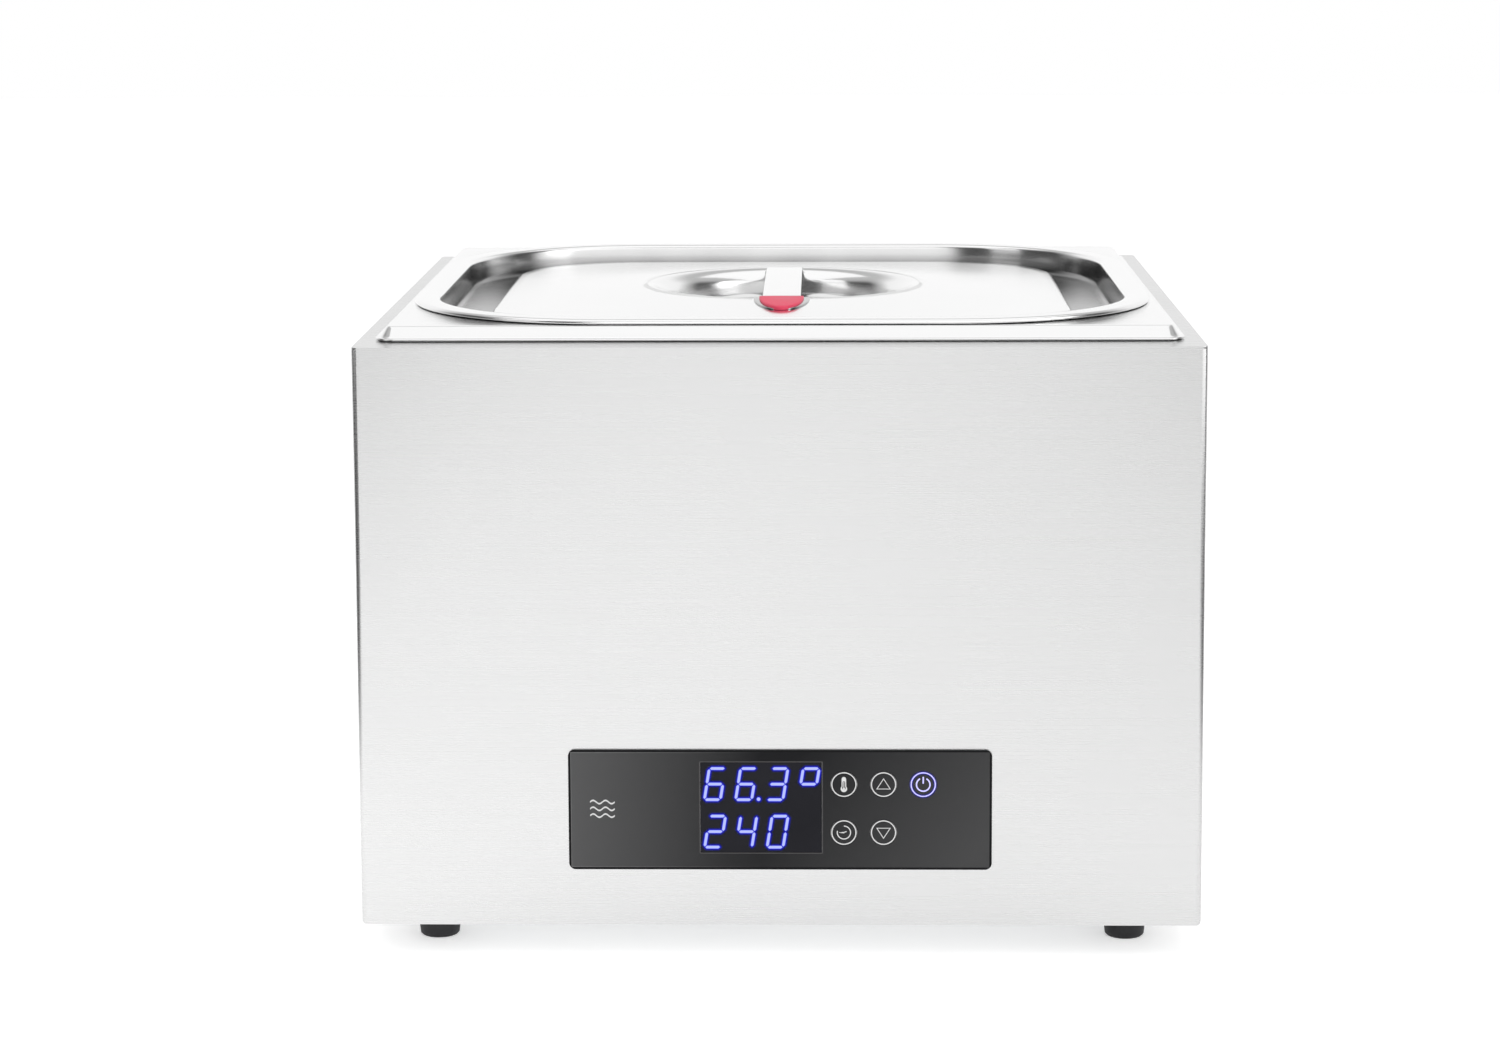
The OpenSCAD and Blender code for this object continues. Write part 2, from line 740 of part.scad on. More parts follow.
module key_button(k) {
    collar_y = front_y + case_t + 0.1;
    along_y(key_at(k)[0], key_at(k)[1], key_r, front_y - panel_t, front_y - panel_t + key_t);
    along_y(key_at(k)[0], key_at(k)[1], stem_r, front_y - panel_t, plunger_y - key_travel - 0.2);
    along_y(key_at(k)[0], key_at(k)[1], key_collar_r, collar_y, collar_y + key_collar_t);
}

module key_temperature() color("black") key_button(KEYS[0]);

module key_up() color("black") key_button(KEYS[1]);

module key_power() color("black") key_button(KEYS[2]);

module key_timer() color("black") key_button(KEYS[3]);

module key_down() color("black") key_button(KEYS[4]);

// Feet and fasteners

module rubber_foot(f) {
    translate([f[0]*(case_w/2 - foot_side), mid_y + f[1]*(case_d/2 - foot_end), 0])
        rotate_extrude() polygon([
            [m4_r + hole_gap, foot_recess_h], [foot_recess_r, foot_recess_h],
            [foot_recess_r, 0], [foot_r - foot_taper - 0.8, 0], [foot_r - foot_taper, 0.8],
            [foot_r, low_z - 0.2], [foot_r, low_z + case_t], [m4_r + hole_gap, low_z + case_t]]);
}

module foot_front_left() color("dimgray") rubber_foot(FEET[0]);

module foot_front_right() color("dimgray") rubber_foot(FEET[1]);

module foot_rear_left() color("dimgray") rubber_foot(FEET[2]);

module foot_rear_right() color("dimgray") rubber_foot(FEET[3]);

module foot_screws() color("silver") foot_at() {
    translate([0, 0, foot_recess_h - low_z]) cylinder(floor_z - foot_recess_h + m4_nut_h + 2, m4_r, m4_r);
    translate([0, 0, foot_recess_h - low_z - m4_head_h]) cylinder(m4_head_h, m4_head_r, m4_head_r);
}

module foot_nuts() color("silver")
    foot_at() translate([0, 0, 2*case_t]) hex_nut(m4_r, m4_nut_r, m4_nut_h);

module base_screws() color("silver") base_screw_at() {
    translate([0, 0, -head_h]) cylinder(head_h, m3_head_r, m3_head_r);
    cylinder(screw_len, m3_r, m3_r);
}

module rear_screws() color("silver") rear_screw_at() {
    cylinder(head_h, m3_head_r, m3_head_r);
    translate([0, 0, -screw_len]) cylinder(screw_len, m3_r, m3_r);
}

// Power inlet with its three flat pins

module inlet_body() color("black") translate([inlet_x, 0, low_z + inlet_z]) difference() {
    union() {
        plate_y(0, 0, inlet_flange_w, inlet_flange_h, 5, rear_y, rear_y + inlet_flange_t);
        block_y(0, 0, inlet_w, inlet_h, rear_y - inlet_len, rear_y);
    }
    block_y(0, 0, 24.4, 16.6, rear_y + inlet_flange_t - 17.5, rear_y + inlet_flange_t + eps);
    for (s = [-1, 1]) translate([s*inlet_screws_w/2, 0, 0]) {
        along_y(0, 0, m3_r + hole_gap, rear_y - eps, rear_y + inlet_flange_t);
        along_y(0, 0, m3_head_r - 0.4, rear_y + inlet_flange_t - 1.8, rear_y + inlet_flange_t + eps);
    }
    inlet_pin_shapes(0.02);
}

module inlet_pin_shapes(gap) {
    for (p = [[-7, -2], [0, 2], [7, -2]])
        block_y(p[0], p[1], 2 + 2*gap, 4 + 2*gap, rear_y - inlet_len - 8, rear_y + inlet_flange_t - 3);
}

module inlet_pins() color("silver")
    translate([inlet_x, 0, low_z + inlet_z]) inlet_pin_shapes(0);

module inlet_screws() color("silver") for (s = [-1, 1])
    translate([inlet_x + s*inlet_screws_w/2, 0, low_z + inlet_z]) {
        along_y(0, 0, m3_head_r - 0.6, rear_y + inlet_flange_t - 1.8, rear_y + inlet_flange_t);
        along_y(0, 0, m3_r, rear_y - 8, rear_y + inlet_flange_t - 1.8);
        rear_nut_y = rear_y - case_t;
        translate([0, rear_nut_y, 0]) rotate([90, 0, 0])
            cylinder(m3_nut_h, m3_nut_r, m3_nut_r, $fn = 6);
    }

// Earth stud on the base plate

module earth_stud() color("goldenrod") translate([earth_x, earth_y, low_z + case_t])
    cylinder(20, m4_r, m4_r);

module earth_nuts() color("goldenrod") translate([earth_x, earth_y, floor_z]) {
    hex_nut(m4_r, m4_nut_r, m4_nut_h);
    translate([0, 0, m4_nut_h + 1]) hex_nut(m4_r, m4_nut_r, m4_nut_h);
}

// Leads inside the casing

module mains_leads() color("saddlebrown") for (i = [0, 1, 2]) {
    pin_x = inlet_x + [-7, 0, 7][i];
    pin_z = low_z + inlet_z + [-2, 2, -2][i];
    pin_y = rear_y - inlet_len - 8;
    run_y = pin_y - 8 - 4*i;
    run_z = parts_z + block_h + 14 + 4*i;
    end_x = board_x - block_w/2 + 6 + i*11;
    wire([[pin_x, pin_y, pin_z], [pin_x, run_y, pin_z], [pin_x, run_y, run_z],
        [end_x, run_y, run_z], [end_x, block_y, run_z], [end_x, block_y, parts_z + 4]],
        mains_lead_r);
}

module heater_leads() color("firebrick") for (i = [0, 1]) {
    end_x = board_x - block_w/2 + 6 + (3 + i)*11;
    out_y = bath_y + clamp_d/2 + 5 + 5*i;
    wire([[end_x, block_y, parts_z + 4], [end_x, block_y, clamp_z - 16 - 5*i],
        [end_x, out_y, clamp_z - 16 - 5*i], [end_x, out_y, mat_z + mat_t/2],
        [end_x, bath_y + mat_d/2, mat_z + mat_t/2]], heater_lead_r);
}

// Lid

// The dome's outer surface, grown by t
module dome_ball(t) {
    translate([0, bath_y, dome_top_z - dome_r]) sphere(dome_r + t, $fn = 256);
}

module lid_plate() color("whitesmoke") difference() {
    translate([0, bath_y, 0]) union() {
        ring(rim_len_x, rim_len_y, rim_r, rim_w + lid_t, lid_z, lid_top_z);
        ring(well_w + 2*lid_t, well_d + 2*lid_t, well_r + lid_t, lid_t, trough_z - lid_t, lid_top_z);
        ring(well_w, well_d, well_r, trough_w + lid_t, trough_z - lid_t, trough_z);
        intersection() {
            difference() {
                slab(mid_w, mid_d, panel_r, trough_z - lid_t, dome_top_z + 1);
                slab(mid_w - 2*lid_t, mid_d - 2*lid_t, panel_r - lid_t,
                    trough_z - 2*lid_t, dome_top_z + 1);
            }
            translate([0, -bath_y, 0]) dome_ball(0);
        }
        intersection() {
            slab(mid_w, mid_d, panel_r, trough_z - lid_t, dome_top_z + 1);
            translate([0, -bath_y, 0]) difference() {
                dome_ball(0);
                dome_ball(-lid_t);
            }
        }
    }
    translate([0, bath_y, trough_z]) cylinder(60, dish_r, dish_r);
}

// Profile of the dish: a rolled edge, a short wall and a flat floor
function arc(cx, cz, r, a0, a1, n) =
    [for (i = [0 : n]) [cx + r*cos(a0 + (a1 - a0)*i/n), cz + r*sin(a0 + (a1 - a0)*i/n)]];

module handle_dish() color("gainsboro") translate([0, bath_y, 0]) rotate_extrude($fn = 96) {
    low = dish_z - dish_depth;
    inner_r = dish_r - dish_edge_r;
    polygon(concat(
        arc(dish_r, dish_z - dish_edge_r, dish_edge_r, 90, 180, 8),
        arc(inner_r - 4, low + 4, 4, 0, -90, 5),
        [[0, low], [0, low - dish_t]],
        arc(inner_r - 4, low + 4, 4 + dish_t, -90, 0, 5),
        arc(dish_r, dish_z - dish_edge_r, dish_edge_r - dish_t, 180, 90, 8)));
}

// Height just above the dish's rolled edge, this far in from its outer line
function roll_z(in) =
    dish_z - dish_edge_r + sqrt(dish_edge_r*dish_edge_r - in*in) + weld_gap;

// Points of the half-moon foot's outline, from its straight back edge
function half_moon(w, l) = [for (i = [0 : 24]) [-w/2*cos(i*7.5), -l*sin(i*7.5)]];

module handle_strap() color("whitesmoke") translate([0, bath_y, 0]) {
    top = dish_z + strap_t;
    foot_y = dish_r;
    bend_y = foot_y - 2*weld_in;
    rotate([90, 0, 90]) linear_extrude(strap_w, center = true) polygon([
        [-foot_y - strap_lap, dish_z], [-foot_y - strap_lap, top], [bend_y, top],
        [foot_y - weld_in*0.7, roll_z(weld_in*0.7) + strap_t], [foot_y - weld_in*0.7, roll_z(weld_in*0.7)],
        [foot_y - weld_in, roll_z(weld_in)], [bend_y, dish_z]]);
    intersection() {
        translate([0, -foot_y, dish_z - 12]) linear_extrude(24)
            polygon(half_moon(foot_plate_w, foot_plate_l));
        difference() {
            translate([0, -bath_y, 0]) dome_ball(foot_plate_t);
            translate([0, -bath_y, 0]) dome_ball(0);
        }
    }
}

module thumb_pad() color("tomato") translate([0, bath_y, 0]) intersection() {
    translate([0, -dish_r - 3, dish_z - 12]) linear_extrude(24) intersection() {
        polygon(half_moon(foot_plate_w - 0.6, foot_plate_l - 3.4));
        square([pad_w, 4*foot_plate_l], center = true);
    }
    difference() {
        translate([0, -bath_y, 0]) dome_ball(foot_plate_t + pad_t);
        translate([0, -bath_y, 0]) dome_ball(foot_plate_t);
    }
}

// Perforated false bottom on four legs

module tray() color("lightgray") {
    tray_w = tank_w - 2*(tray_gap + tank_bevel);
    tray_d = tank_d - 2*(tray_gap + tank_bevel);
    tray_z = tank_floor_z + tray_h;
    hole_x = floor((tray_w/2 - 30)/tray_pitch);
    hole_y = floor((tray_d/2 - 30)/tray_pitch);
    difference() {
        translate([0, bath_y, 0])
            slab(tray_w, tray_d, tank_r - tray_gap - tank_bevel, tray_z, tray_z + tray_t);
        for (i = [-hole_x : hole_x], j = [-hole_y : hole_y])
            translate([i*tray_pitch, bath_y + j*tray_pitch, tray_z - eps])
                cylinder(tray_t + 2*eps, tray_hole_r, tray_hole_r);
    }
    for (sx = [-1, 1], sy = [-1, 1])
        translate([sx*tray_w/4, bath_y + sy*(tray_d/2 - 6), tank_floor_z + seat_gap])
            cylinder(tray_h - seat_gap, 4, 4);
}

casing_wrap();
top_deck();
rear_panel();
base_plate();
tank();
tank_gasket();
heater_mat_base();
heater_mats_side();
insulation_base();
insulation_sides();
clamp_plate();
tank_studs();
tank_nuts();
temperature_probe();
probe_clip();
safety_cutout();
power_board();
transformer();
relays();
heat_sink();
terminal_block();
filter_parts();
board_pillars();
board_screws();
control_board();
display_upper();
display_lower();
key_switches();
control_chip();
control_studs();
control_nuts();
panel_overlay();
display_window();
key_temperature();
key_up();
key_power();
key_timer();
key_down();
foot_front_left();
foot_front_right();
foot_rear_left();
foot_rear_right();
foot_screws();
foot_nuts();
base_screws();
rear_screws();
inlet_body();
inlet_pins();
inlet_screws();
earth_stud();
earth_nuts();
mains_leads();
heater_leads();
lid_plate();
handle_dish();
handle_strap();
thumb_pad();
tray();
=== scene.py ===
import json
import math

import bmesh
import bpy
from mathutils import Matrix, Vector

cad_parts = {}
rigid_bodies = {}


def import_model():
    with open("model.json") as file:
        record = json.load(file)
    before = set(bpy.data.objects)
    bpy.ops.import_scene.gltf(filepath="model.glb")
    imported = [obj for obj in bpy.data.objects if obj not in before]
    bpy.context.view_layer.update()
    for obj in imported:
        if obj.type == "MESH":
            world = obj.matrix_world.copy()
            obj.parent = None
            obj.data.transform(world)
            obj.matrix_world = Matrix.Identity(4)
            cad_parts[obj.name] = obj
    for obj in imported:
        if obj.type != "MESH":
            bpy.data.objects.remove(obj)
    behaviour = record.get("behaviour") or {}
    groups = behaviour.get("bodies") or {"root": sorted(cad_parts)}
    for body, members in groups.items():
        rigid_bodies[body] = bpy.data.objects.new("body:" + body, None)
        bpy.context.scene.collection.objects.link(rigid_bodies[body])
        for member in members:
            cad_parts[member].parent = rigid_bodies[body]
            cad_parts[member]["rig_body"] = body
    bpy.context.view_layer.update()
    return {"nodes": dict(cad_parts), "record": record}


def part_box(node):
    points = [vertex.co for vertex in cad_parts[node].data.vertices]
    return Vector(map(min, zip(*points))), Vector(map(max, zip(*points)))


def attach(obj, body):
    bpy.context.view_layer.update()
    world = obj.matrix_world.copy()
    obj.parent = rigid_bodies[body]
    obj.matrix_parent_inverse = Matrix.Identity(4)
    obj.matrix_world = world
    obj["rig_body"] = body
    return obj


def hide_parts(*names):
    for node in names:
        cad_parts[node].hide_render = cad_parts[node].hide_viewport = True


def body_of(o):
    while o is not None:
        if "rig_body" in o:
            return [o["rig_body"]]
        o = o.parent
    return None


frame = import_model()
cadNodes = frame["nodes"]
mm = 0.001


class Wire:
    # a socket in a node tree, with sums that add Math nodes
    def __init__(self, tree, socket):
        self.tree = tree
        self.socket = socket

    def math(self, operation, *others):
        node = self.tree.nodes.new("ShaderNodeMath")
        node.operation = operation
        for slot, value in enumerate((self,) + others):
            if isinstance(value, Wire):
                self.tree.links.new(value.socket, node.inputs[slot])
            else:
                node.inputs[slot].default_value = value
        return Wire(self.tree, node.outputs[0])

    def __add__(self, other):
        return self.math("ADD", other)

    __radd__ = __add__

    def __mul__(self, other):
        return self.math("MULTIPLY", other)

    __rmul__ = __mul__

    def __sub__(self, other):
        return self.math("SUBTRACT", other)

    def __rsub__(self, other):
        return (self * -1.0) + other

    def __pow__(self, other):
        return self.math("POWER", other)

    def abs(self):
        return self.math("ABSOLUTE")

    def clamp(self):
        return self.math("MAXIMUM", 0.0).math("MINIMUM", 1.0)

    def between(self, low, high):
        # 0 below low, 1 above high, and a straight slope from one to the other
        return ((self - low) * (1.0 / (high - low))).clamp()

    def axes(self):
        node = self.tree.nodes.new("ShaderNodeSeparateXYZ")
        self.tree.links.new(self.socket, node.inputs[0])
        return [Wire(self.tree, socket) for socket in node.outputs]


class Paint:
    # a material's node tree, its shader and one way to add a node
    def __init__(self, name, **constants):
        self.material = bpy.data.materials.new(name)
        self.material.use_nodes = True
        self.tree = self.material.node_tree
        self.shader = self.tree.nodes["Principled BSDF"]
        for socket, value in constants.items():
            self.shader.inputs[socket.replace("_", " ")].default_value = value
        self.place = self.add("ShaderNodeTexCoord", out="Object")

    def add(self, kind, settings=None, out=0, **inputs):
        node = self.tree.nodes.new(kind)
        for setting, value in (settings or {}).items():
            setattr(node, setting, value)
        for socket, value in inputs.items():
            target = node.inputs[socket.replace("_", " ")]
            if isinstance(value, Wire):
                self.tree.links.new(value.socket, target)
            else:
                target.default_value = value
        return Wire(self.tree, node.outputs[out])

    def noise(self, scale, detail=3.0, stretch=None):
        vector = self.place
        if stretch:
            vector = self.add("ShaderNodeMapping", Vector=self.place, Scale=stretch)
        return self.add("ShaderNodeTexNoise", out="Fac", Vector=vector, Scale=scale, Detail=detail)

    def attribute(self, name):
        return self.add("ShaderNodeAttribute", {"attribute_name": name}, out="Fac")

    def mixColour(self, factor, first, second):
        node = self.tree.nodes.new("ShaderNodeMix")
        node.data_type = "RGBA"
        for socket, value in (("Factor", factor), ("A", first), ("B", second)):
            target = [s for s in node.inputs if s.name == socket and s.enabled][0]
            if isinstance(value, Wire):
                self.tree.links.new(value.socket, target)
            else:
                target.default_value = value if socket == "Factor" else (*value, 1.0)
        return Wire(self.tree, [s for s in node.outputs if s.enabled][0])

    def feed(self, **wires):
        for socket, wire in wires.items():
            self.tree.links.new(wire.socket, self.shader.inputs[socket.replace("_", " ")])

    def bump(self, height, strength, distance):
        self.feed(Normal=self.add("ShaderNodeBump", Strength=strength, Distance=distance, Height=height))


def shade(colour, amount):
    return tuple(min(1.0, channel * amount) for channel in colour)


steelLook = {
    "casing": {"colour": (0.66, 0.66, 0.66), "rough": 0.28, "grain": 0.02, "scratch": 0.02},
    "lid": {"colour": (0.84, 0.84, 0.84), "rough": 0.17, "grain": 0.015, "scratch": 0.015},
    "tank": {"colour": (0.82, 0.82, 0.82), "rough": 0.16, "grain": 0.02, "scratch": 0.02},
    "sheet": {"colour": (0.60, 0.61, 0.615), "rough": 0.38, "grain": 0.06, "scratch": 0.12},
}


def brushedSteel(name, look):
    # long fine streaks, level on upright faces and along X on flat ones
    # darker where the vertex attribute heart is set: painted shade in deep hollows, mottled by a smudge
    # noise
    paint = Paint(name, Metallic=1.0)
    facesUp = paint.add("ShaderNodeNewGeometry", out="Normal").axes()[2].abs().between(0.55, 0.75)
    upright = paint.noise(1.0, 6.0, (6.0, 6.0, 2600.0))
    level = paint.noise(1.0, 6.0, (6.0, 2600.0, 6.0))
    streak = upright * (1.0 - facesUp) + level * facesUp
    coarseUpright = paint.noise(1.0, 3.0, (2.0, 2.0, 260.0))
    coarseLevel = paint.noise(1.0, 3.0, (2.0, 260.0, 2.0))
    coarse = coarseUpright * (1.0 - facesUp) + coarseLevel * facesUp
    cloud = paint.noise(7.0, 2.0)
    smudge = paint.noise(38.0, 5.0)
    tone = (streak - 0.5) * 0.9 + (coarse - 0.5) * 0.5 + (cloud - 0.5) * 0.25 + 0.5
    darkStreak = shade(look["colour"], 1 - look["grain"])
    paleStreak = shade(look["colour"], 1 + look["grain"])
    bright = paint.mixColour(tone.clamp(), darkStreak, paleStreak)
    # painted shade: the base colour goes towards 0.3 of the steel colour where heart is set
    paintedShade = paint.attribute("heart") * (smudge * 0.3 + 0.85)
    uneven = (streak - 0.5) * 0.14 + (cloud - 0.5) * 0.06 + (smudge - 0.5) * 0.05
    paint.feed(Base_Color=paint.mixColour(paintedShade.clamp(), bright, shade(look["colour"], 0.30)),
               Roughness=(uneven + look["rough"]).clamp())
    paint.bump(streak + coarse * 0.6, look["scratch"], 0.00004)
    return paint.material


def rubber(name, colour, rough=0.62):
    paint = Paint(name, Specular_IOR_Level=0.35)
    grain = paint.noise(1900.0, 2.0)
    bloom = paint.noise(90.0, 3.0)
    paint.feed(Base_Color=paint.mixColour(bloom, shade(colour, 0.85), shade(colour, 1.15)),
               Roughness=((bloom - 0.5) * 0.22 + rough).clamp())
    paint.bump(grain, 0.25, 0.00008)
    return paint.material


def moulded(name, colour, rough=0.35, sparkle=1400.0):
    paint = Paint(name)
    grain = paint.noise(sparkle, 2.0)
    wear = paint.noise(60.0, 4.0)
    paint.feed(Base_Color=paint.mixColour(wear, shade(colour, 0.88), shade(colour, 1.12)),
               Roughness=((wear - 0.5) * 0.15 + (grain - 0.5) * 0.06 + rough).clamp())
    paint.bump(grain, 0.12, 0.00005)
    return paint.material


def plated(name, colour, rough=0.22):
    paint = Paint(name, Metallic=1.0)
    patch = paint.noise(240.0, 4.0)
    paint.feed(Base_Color=paint.mixColour(patch, shade(colour, 0.86), colour),
               Roughness=((patch - 0.5) * 0.2 + rough).clamp())
    paint.bump(patch, 0.08, 0.00005)
    return paint.material


def fibreBoard(name, colour):
    paint = Paint(name)
    fibre = paint.noise(1.0, 5.0, (900.0, 300.0, 900.0))
    paint.feed(Base_Color=paint.mixColour(fibre, shade(colour, 0.7), colour),
               Roughness=((fibre - 0.5) * 0.1 + 0.9).clamp())
    paint.bump(fibre, 0.6, 0.0003)
    return paint.material


def circuitBoard(name):
    paint = Paint(name)
    tracks = paint.add("ShaderNodeTexBrick", {"offset": 0.5}, out="Fac",
                       Vector=paint.place, Scale=160.0, Mortar_Size=0.06)
    paint.feed(Base_Color=paint.mixColour(tracks, (0.02, 0.16, 0.07), (0.05, 0.28, 0.13)),
               Roughness=(paint.noise(300.0, 2.0) * 0.2 + 0.25).clamp())
    paint.bump(tracks, 0.2, 0.00005)
    return paint.material


panelLow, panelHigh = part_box("panel_overlay")
# film tones: left and right are painted reflections on the black gloss, line is a painted highlight
filmTone = {"border": (0.002, 0.002, 0.003), "dark": (0.006, 0.0062, 0.0075), "left": (0.082, 0.082, 0.083),
            "right": (0.055, 0.055, 0.056), "line": (0.17, 0.17, 0.17)}
filmFade = {"left": (-92 * mm, -8 * mm), "right": (-10 * mm, 100 * mm), "slant": 0.7}


def panelFilm(name):
    # gloss film with a black border; greyer towards its left end and its lower right corner as painted
    # reflection, with a paler line inside the border at the left end as a painted highlight
    paint = Paint(name, Specular_IOR_Level=0.08, Coat_Roughness=0.08)
    x, y, z = paint.place.axes()
    middle = (panelLow + panelHigh) / 2
    halfX = (panelHigh.x - panelLow.x) / 2
    halfZ = (panelHigh.z - panelLow.z) / 2
    insetX = (x - middle.x).abs() * -1.0 + halfX
    insetZ = (z - middle.z).abs() * -1.0 + halfZ
    inset = insetX.math("MINIMUM", insetZ)
    leftReflection = 1.0 - x.between(*filmFade["left"])
    cornerReflection = (x - (z - middle.z) * filmFade["slant"]).between(*filmFade["right"])
    toned = paint.mixColour(leftReflection, filmTone["dark"], filmTone["left"])
    toned = paint.mixColour(cornerReflection, toned, filmTone["right"])
    line = inset.between(1.00 * mm, 1.15 * mm) * (1.0 - inset.between(1.25 * mm, 1.40 * mm)) * leftReflection * 0.7
    toned = paint.mixColour(line, toned, filmTone["line"])
    toned = paint.mixColour(inset.between(0.95 * mm, 1.10 * mm), filmTone["border"], toned)
    ripple = paint.noise(420.0, 2.0)
    paint.feed(Base_Color=toned, Roughness=((ripple - 0.5) * 0.05 + 0.16).clamp(),
               Coat_Weight=(ripple * 0.06 + 0.05).clamp())
    paint.bump(ripple, 0.03, 0.00005)
    return paint.material


def smokedWindow(name):
    paint = Paint(name, Specular_IOR_Level=0.12)
    smear = paint.noise(45.0, 2.0)
    paint.feed(Base_Color=paint.mixColour(smear, (0.007, 0.007, 0.010), (0.013, 0.013, 0.018)),
               Roughness=(smear * 0.06 + 0.12).clamp())
    return paint.material


def printed(name, colour, glow=0.0):
    paint = Paint(name, Emission_Strength=glow)
    screen = paint.noise(2500.0, 1.0)
    tint = paint.mixColour(screen, shade(colour, 0.9), colour)
    paint.feed(Base_Color=tint, Emission_Color=tint, Roughness=(screen * 0.1 + 0.45).clamp())
    return paint.material


def litSegment(name):
    # pale core with a bluer edge
    paint = Paint(name, Emission_Strength=1.0, Specular_IOR_Level=0.0)
    heart = paint.attribute("heart")
    tint = paint.mixColour(heart, (0.14, 0.17, 1.0), (0.52, 0.58, 1.0))
    paint.feed(Base_Color=paint.mixColour(heart, (0.0, 0.0, 0.01), (0.0, 0.0, 0.02)), Emission_Color=tint,
               Roughness=heart * 0.1 + 0.3)
    return paint.material


def glow(name, colour, reach):
    paint = Paint(name, Emission_Strength=1.0, Specular_IOR_Level=0.0)
    heart = paint.attribute("heart")
    tint = paint.mixColour(heart, shade(colour, 0.6), colour)
    paint.feed(Base_Color=paint.mixColour(heart, (0.0, 0.0, 0.0), (0.0, 0.0, 0.02)), Emission_Color=tint,
               Alpha=(heart ** 1.8 * reach).clamp())
    return paint.material


looks = {
    "brushed_casing": brushedSteel("brushedCasing", steelLook["casing"]),
    "inner_sheet": brushedSteel("innerSheet", steelLook["sheet"]),
    "tank_steel": brushedSteel("tankSteel", steelLook["tank"]),
    "lid_steel": brushedSteel("lidSteel", steelLook["lid"]),
    "red_silicone": rubber("redSilicone", (0.84, 0.065, 0.135), 0.5),
    "seal_rubber": rubber("sealRubber", (0.02, 0.02, 0.02)),
    "heater_silicone": rubber("heaterSilicone", (0.50, 0.14, 0.05)),
    "wool": fibreBoard("woolBoard", (0.72, 0.66, 0.50)),
    "zinc_fastener": plated("zincFastener", (0.74, 0.74, 0.72)),
    "brass_parts": plated("brassParts", (0.78, 0.58, 0.26)),
    "brown_plastic": moulded("brownPlastic", (0.12, 0.05, 0.03)),
    "circuit_board": circuitBoard("circuitBoard"),
    "copper_iron": plated("copperIron", (0.45, 0.26, 0.14), 0.45),
    "blue_plastic": moulded("bluePlastic", (0.03, 0.10, 0.38)),
    "sink_aluminium": plated("sinkAluminium", (0.66, 0.67, 0.68), 0.38),
    "green_plastic": moulded("greenPlastic", (0.04, 0.26, 0.12)),
    "capacitor_film": moulded("capacitorFilm", (0.50, 0.38, 0.08), 0.3),
    "display_body": moulded("displayBody", (0.03, 0.035, 0.05), 0.25),
    "switch_plastic": moulded("switchPlastic", (0.02, 0.02, 0.02), 0.45),
    "panel_gloss": panelFilm("panelFilm"),
    "window_gloss": smokedWindow("smokedWindow"),
    "foot_rubber": rubber("footRubber", (0.018, 0.018, 0.02), 0.55),
    "inlet_plastic": moulded("inletPlastic", (0.02, 0.02, 0.02), 0.5, 900.0),
    "pin_metal": plated("pinMetal", (0.78, 0.77, 0.74), 0.18),
    "lead_sleeve": moulded("leadSleeve", (0.30, 0.10, 0.05), 0.55),
}
keyPrint = printed("keyPrint", (0.72, 0.72, 0.72))
powerPrint = printed("powerPrint", (0.50, 0.48, 1.0), 0.5)
framePrint = printed("framePrint", (0.045, 0.043, 0.045))
markPrint = printed("markPrint", (0.66, 0.66, 0.66))
segmentLight = litSegment("segmentLight")
segmentGlow = glow("segmentGlow", (0.02, 0.025, 0.75), 0.9)
powerGlow = glow("powerGlow", (0.03, 0.03, 0.60), 0.7)

for part in frame["record"]["subparts"]:
    node = cadNodes[part["node"]]
    node.data.materials.clear()
    node.data.materials.append(looks[part["material_slot"]])
print("materials ready:", len(bpy.data.materials))


def newShape():
    # every vertex knows its number round its ring, and its share of a tint: the middle of a light, or how
    # much painted shade darkens the steel
    bm = bmesh.new()
    bm.verts.layers.int.new("turn")
    bm.verts.layers.float.new("heart")
    return bm


def loft(bm, rings, count, place, heart=None):
    # starts from a circle and extrudes its edge once for each further ring
    turnLayer = bm.verts.layers.int["turn"]
    heartLayer = bm.verts.layers.float["heart"]
    verts = bmesh.ops.create_circle(bm, cap_ends=False, radius=1.0, segments=count)["verts"]
    for turn, vert in enumerate(verts):
        vert[turnLayer] = turn
    edges = list(dict.fromkeys(edge for vert in verts for edge in vert.link_edges))
    first = edges
    for number, ring in enumerate(rings):
        if number:
            grown = bmesh.ops.extrude_edge_only(bm, edges=edges)["geom"]
            edges = [item for item in grown if isinstance(item, bmesh.types.BMEdge)]
            verts = [item for item in grown if isinstance(item, bmesh.types.BMVert)]
        for vert in verts:
            vert.co = place(vert[turnLayer], ring)
            vert[heartLayer] = heart[number] if heart else 0.0
    return first, edges


def cap(bm, edges):
    bmesh.ops.edgeloop_fill(bm, edges=edges)


def finishPiece(name, bm, material, body, flatAngle=40.0, facing=None):
    bmesh.ops.remove_doubles(bm, verts=bm.verts, dist=1e-7)
    bmesh.ops.recalc_face_normals(bm, faces=bm.faces)
    bm.faces.ensure_lookup_table()
    if facing:
        place, direction = facing
        nearest = min(bm.faces, key=lambda face: (face.calc_center_median() - Vector(place)).length)
        if nearest.normal.dot(Vector(direction)) < 0:
            bmesh.ops.reverse_faces(bm, faces=bm.faces)
    mesh = bpy.data.meshes.new(name)
    bm.to_mesh(mesh)
    bm.free()
    for face in mesh.polygons:
        face.use_smooth = True
    mesh.set_sharp_from_angle(angle=math.radians(flatAngle))
    mesh.materials.append(material)
    piece = bpy.data.objects.new(name, mesh)
    bpy.context.scene.collection.objects.link(piece)
    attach(piece, body)
    return piece


def addSheet(piece, thickness):
    # thickens an open surface behind the side that its faces point to
    sheet = piece.modifiers.new("sheet", "SOLIDIFY")
    sheet.thickness = thickness
    sheet.offset = -1.0
    sheet.use_even_offset = True


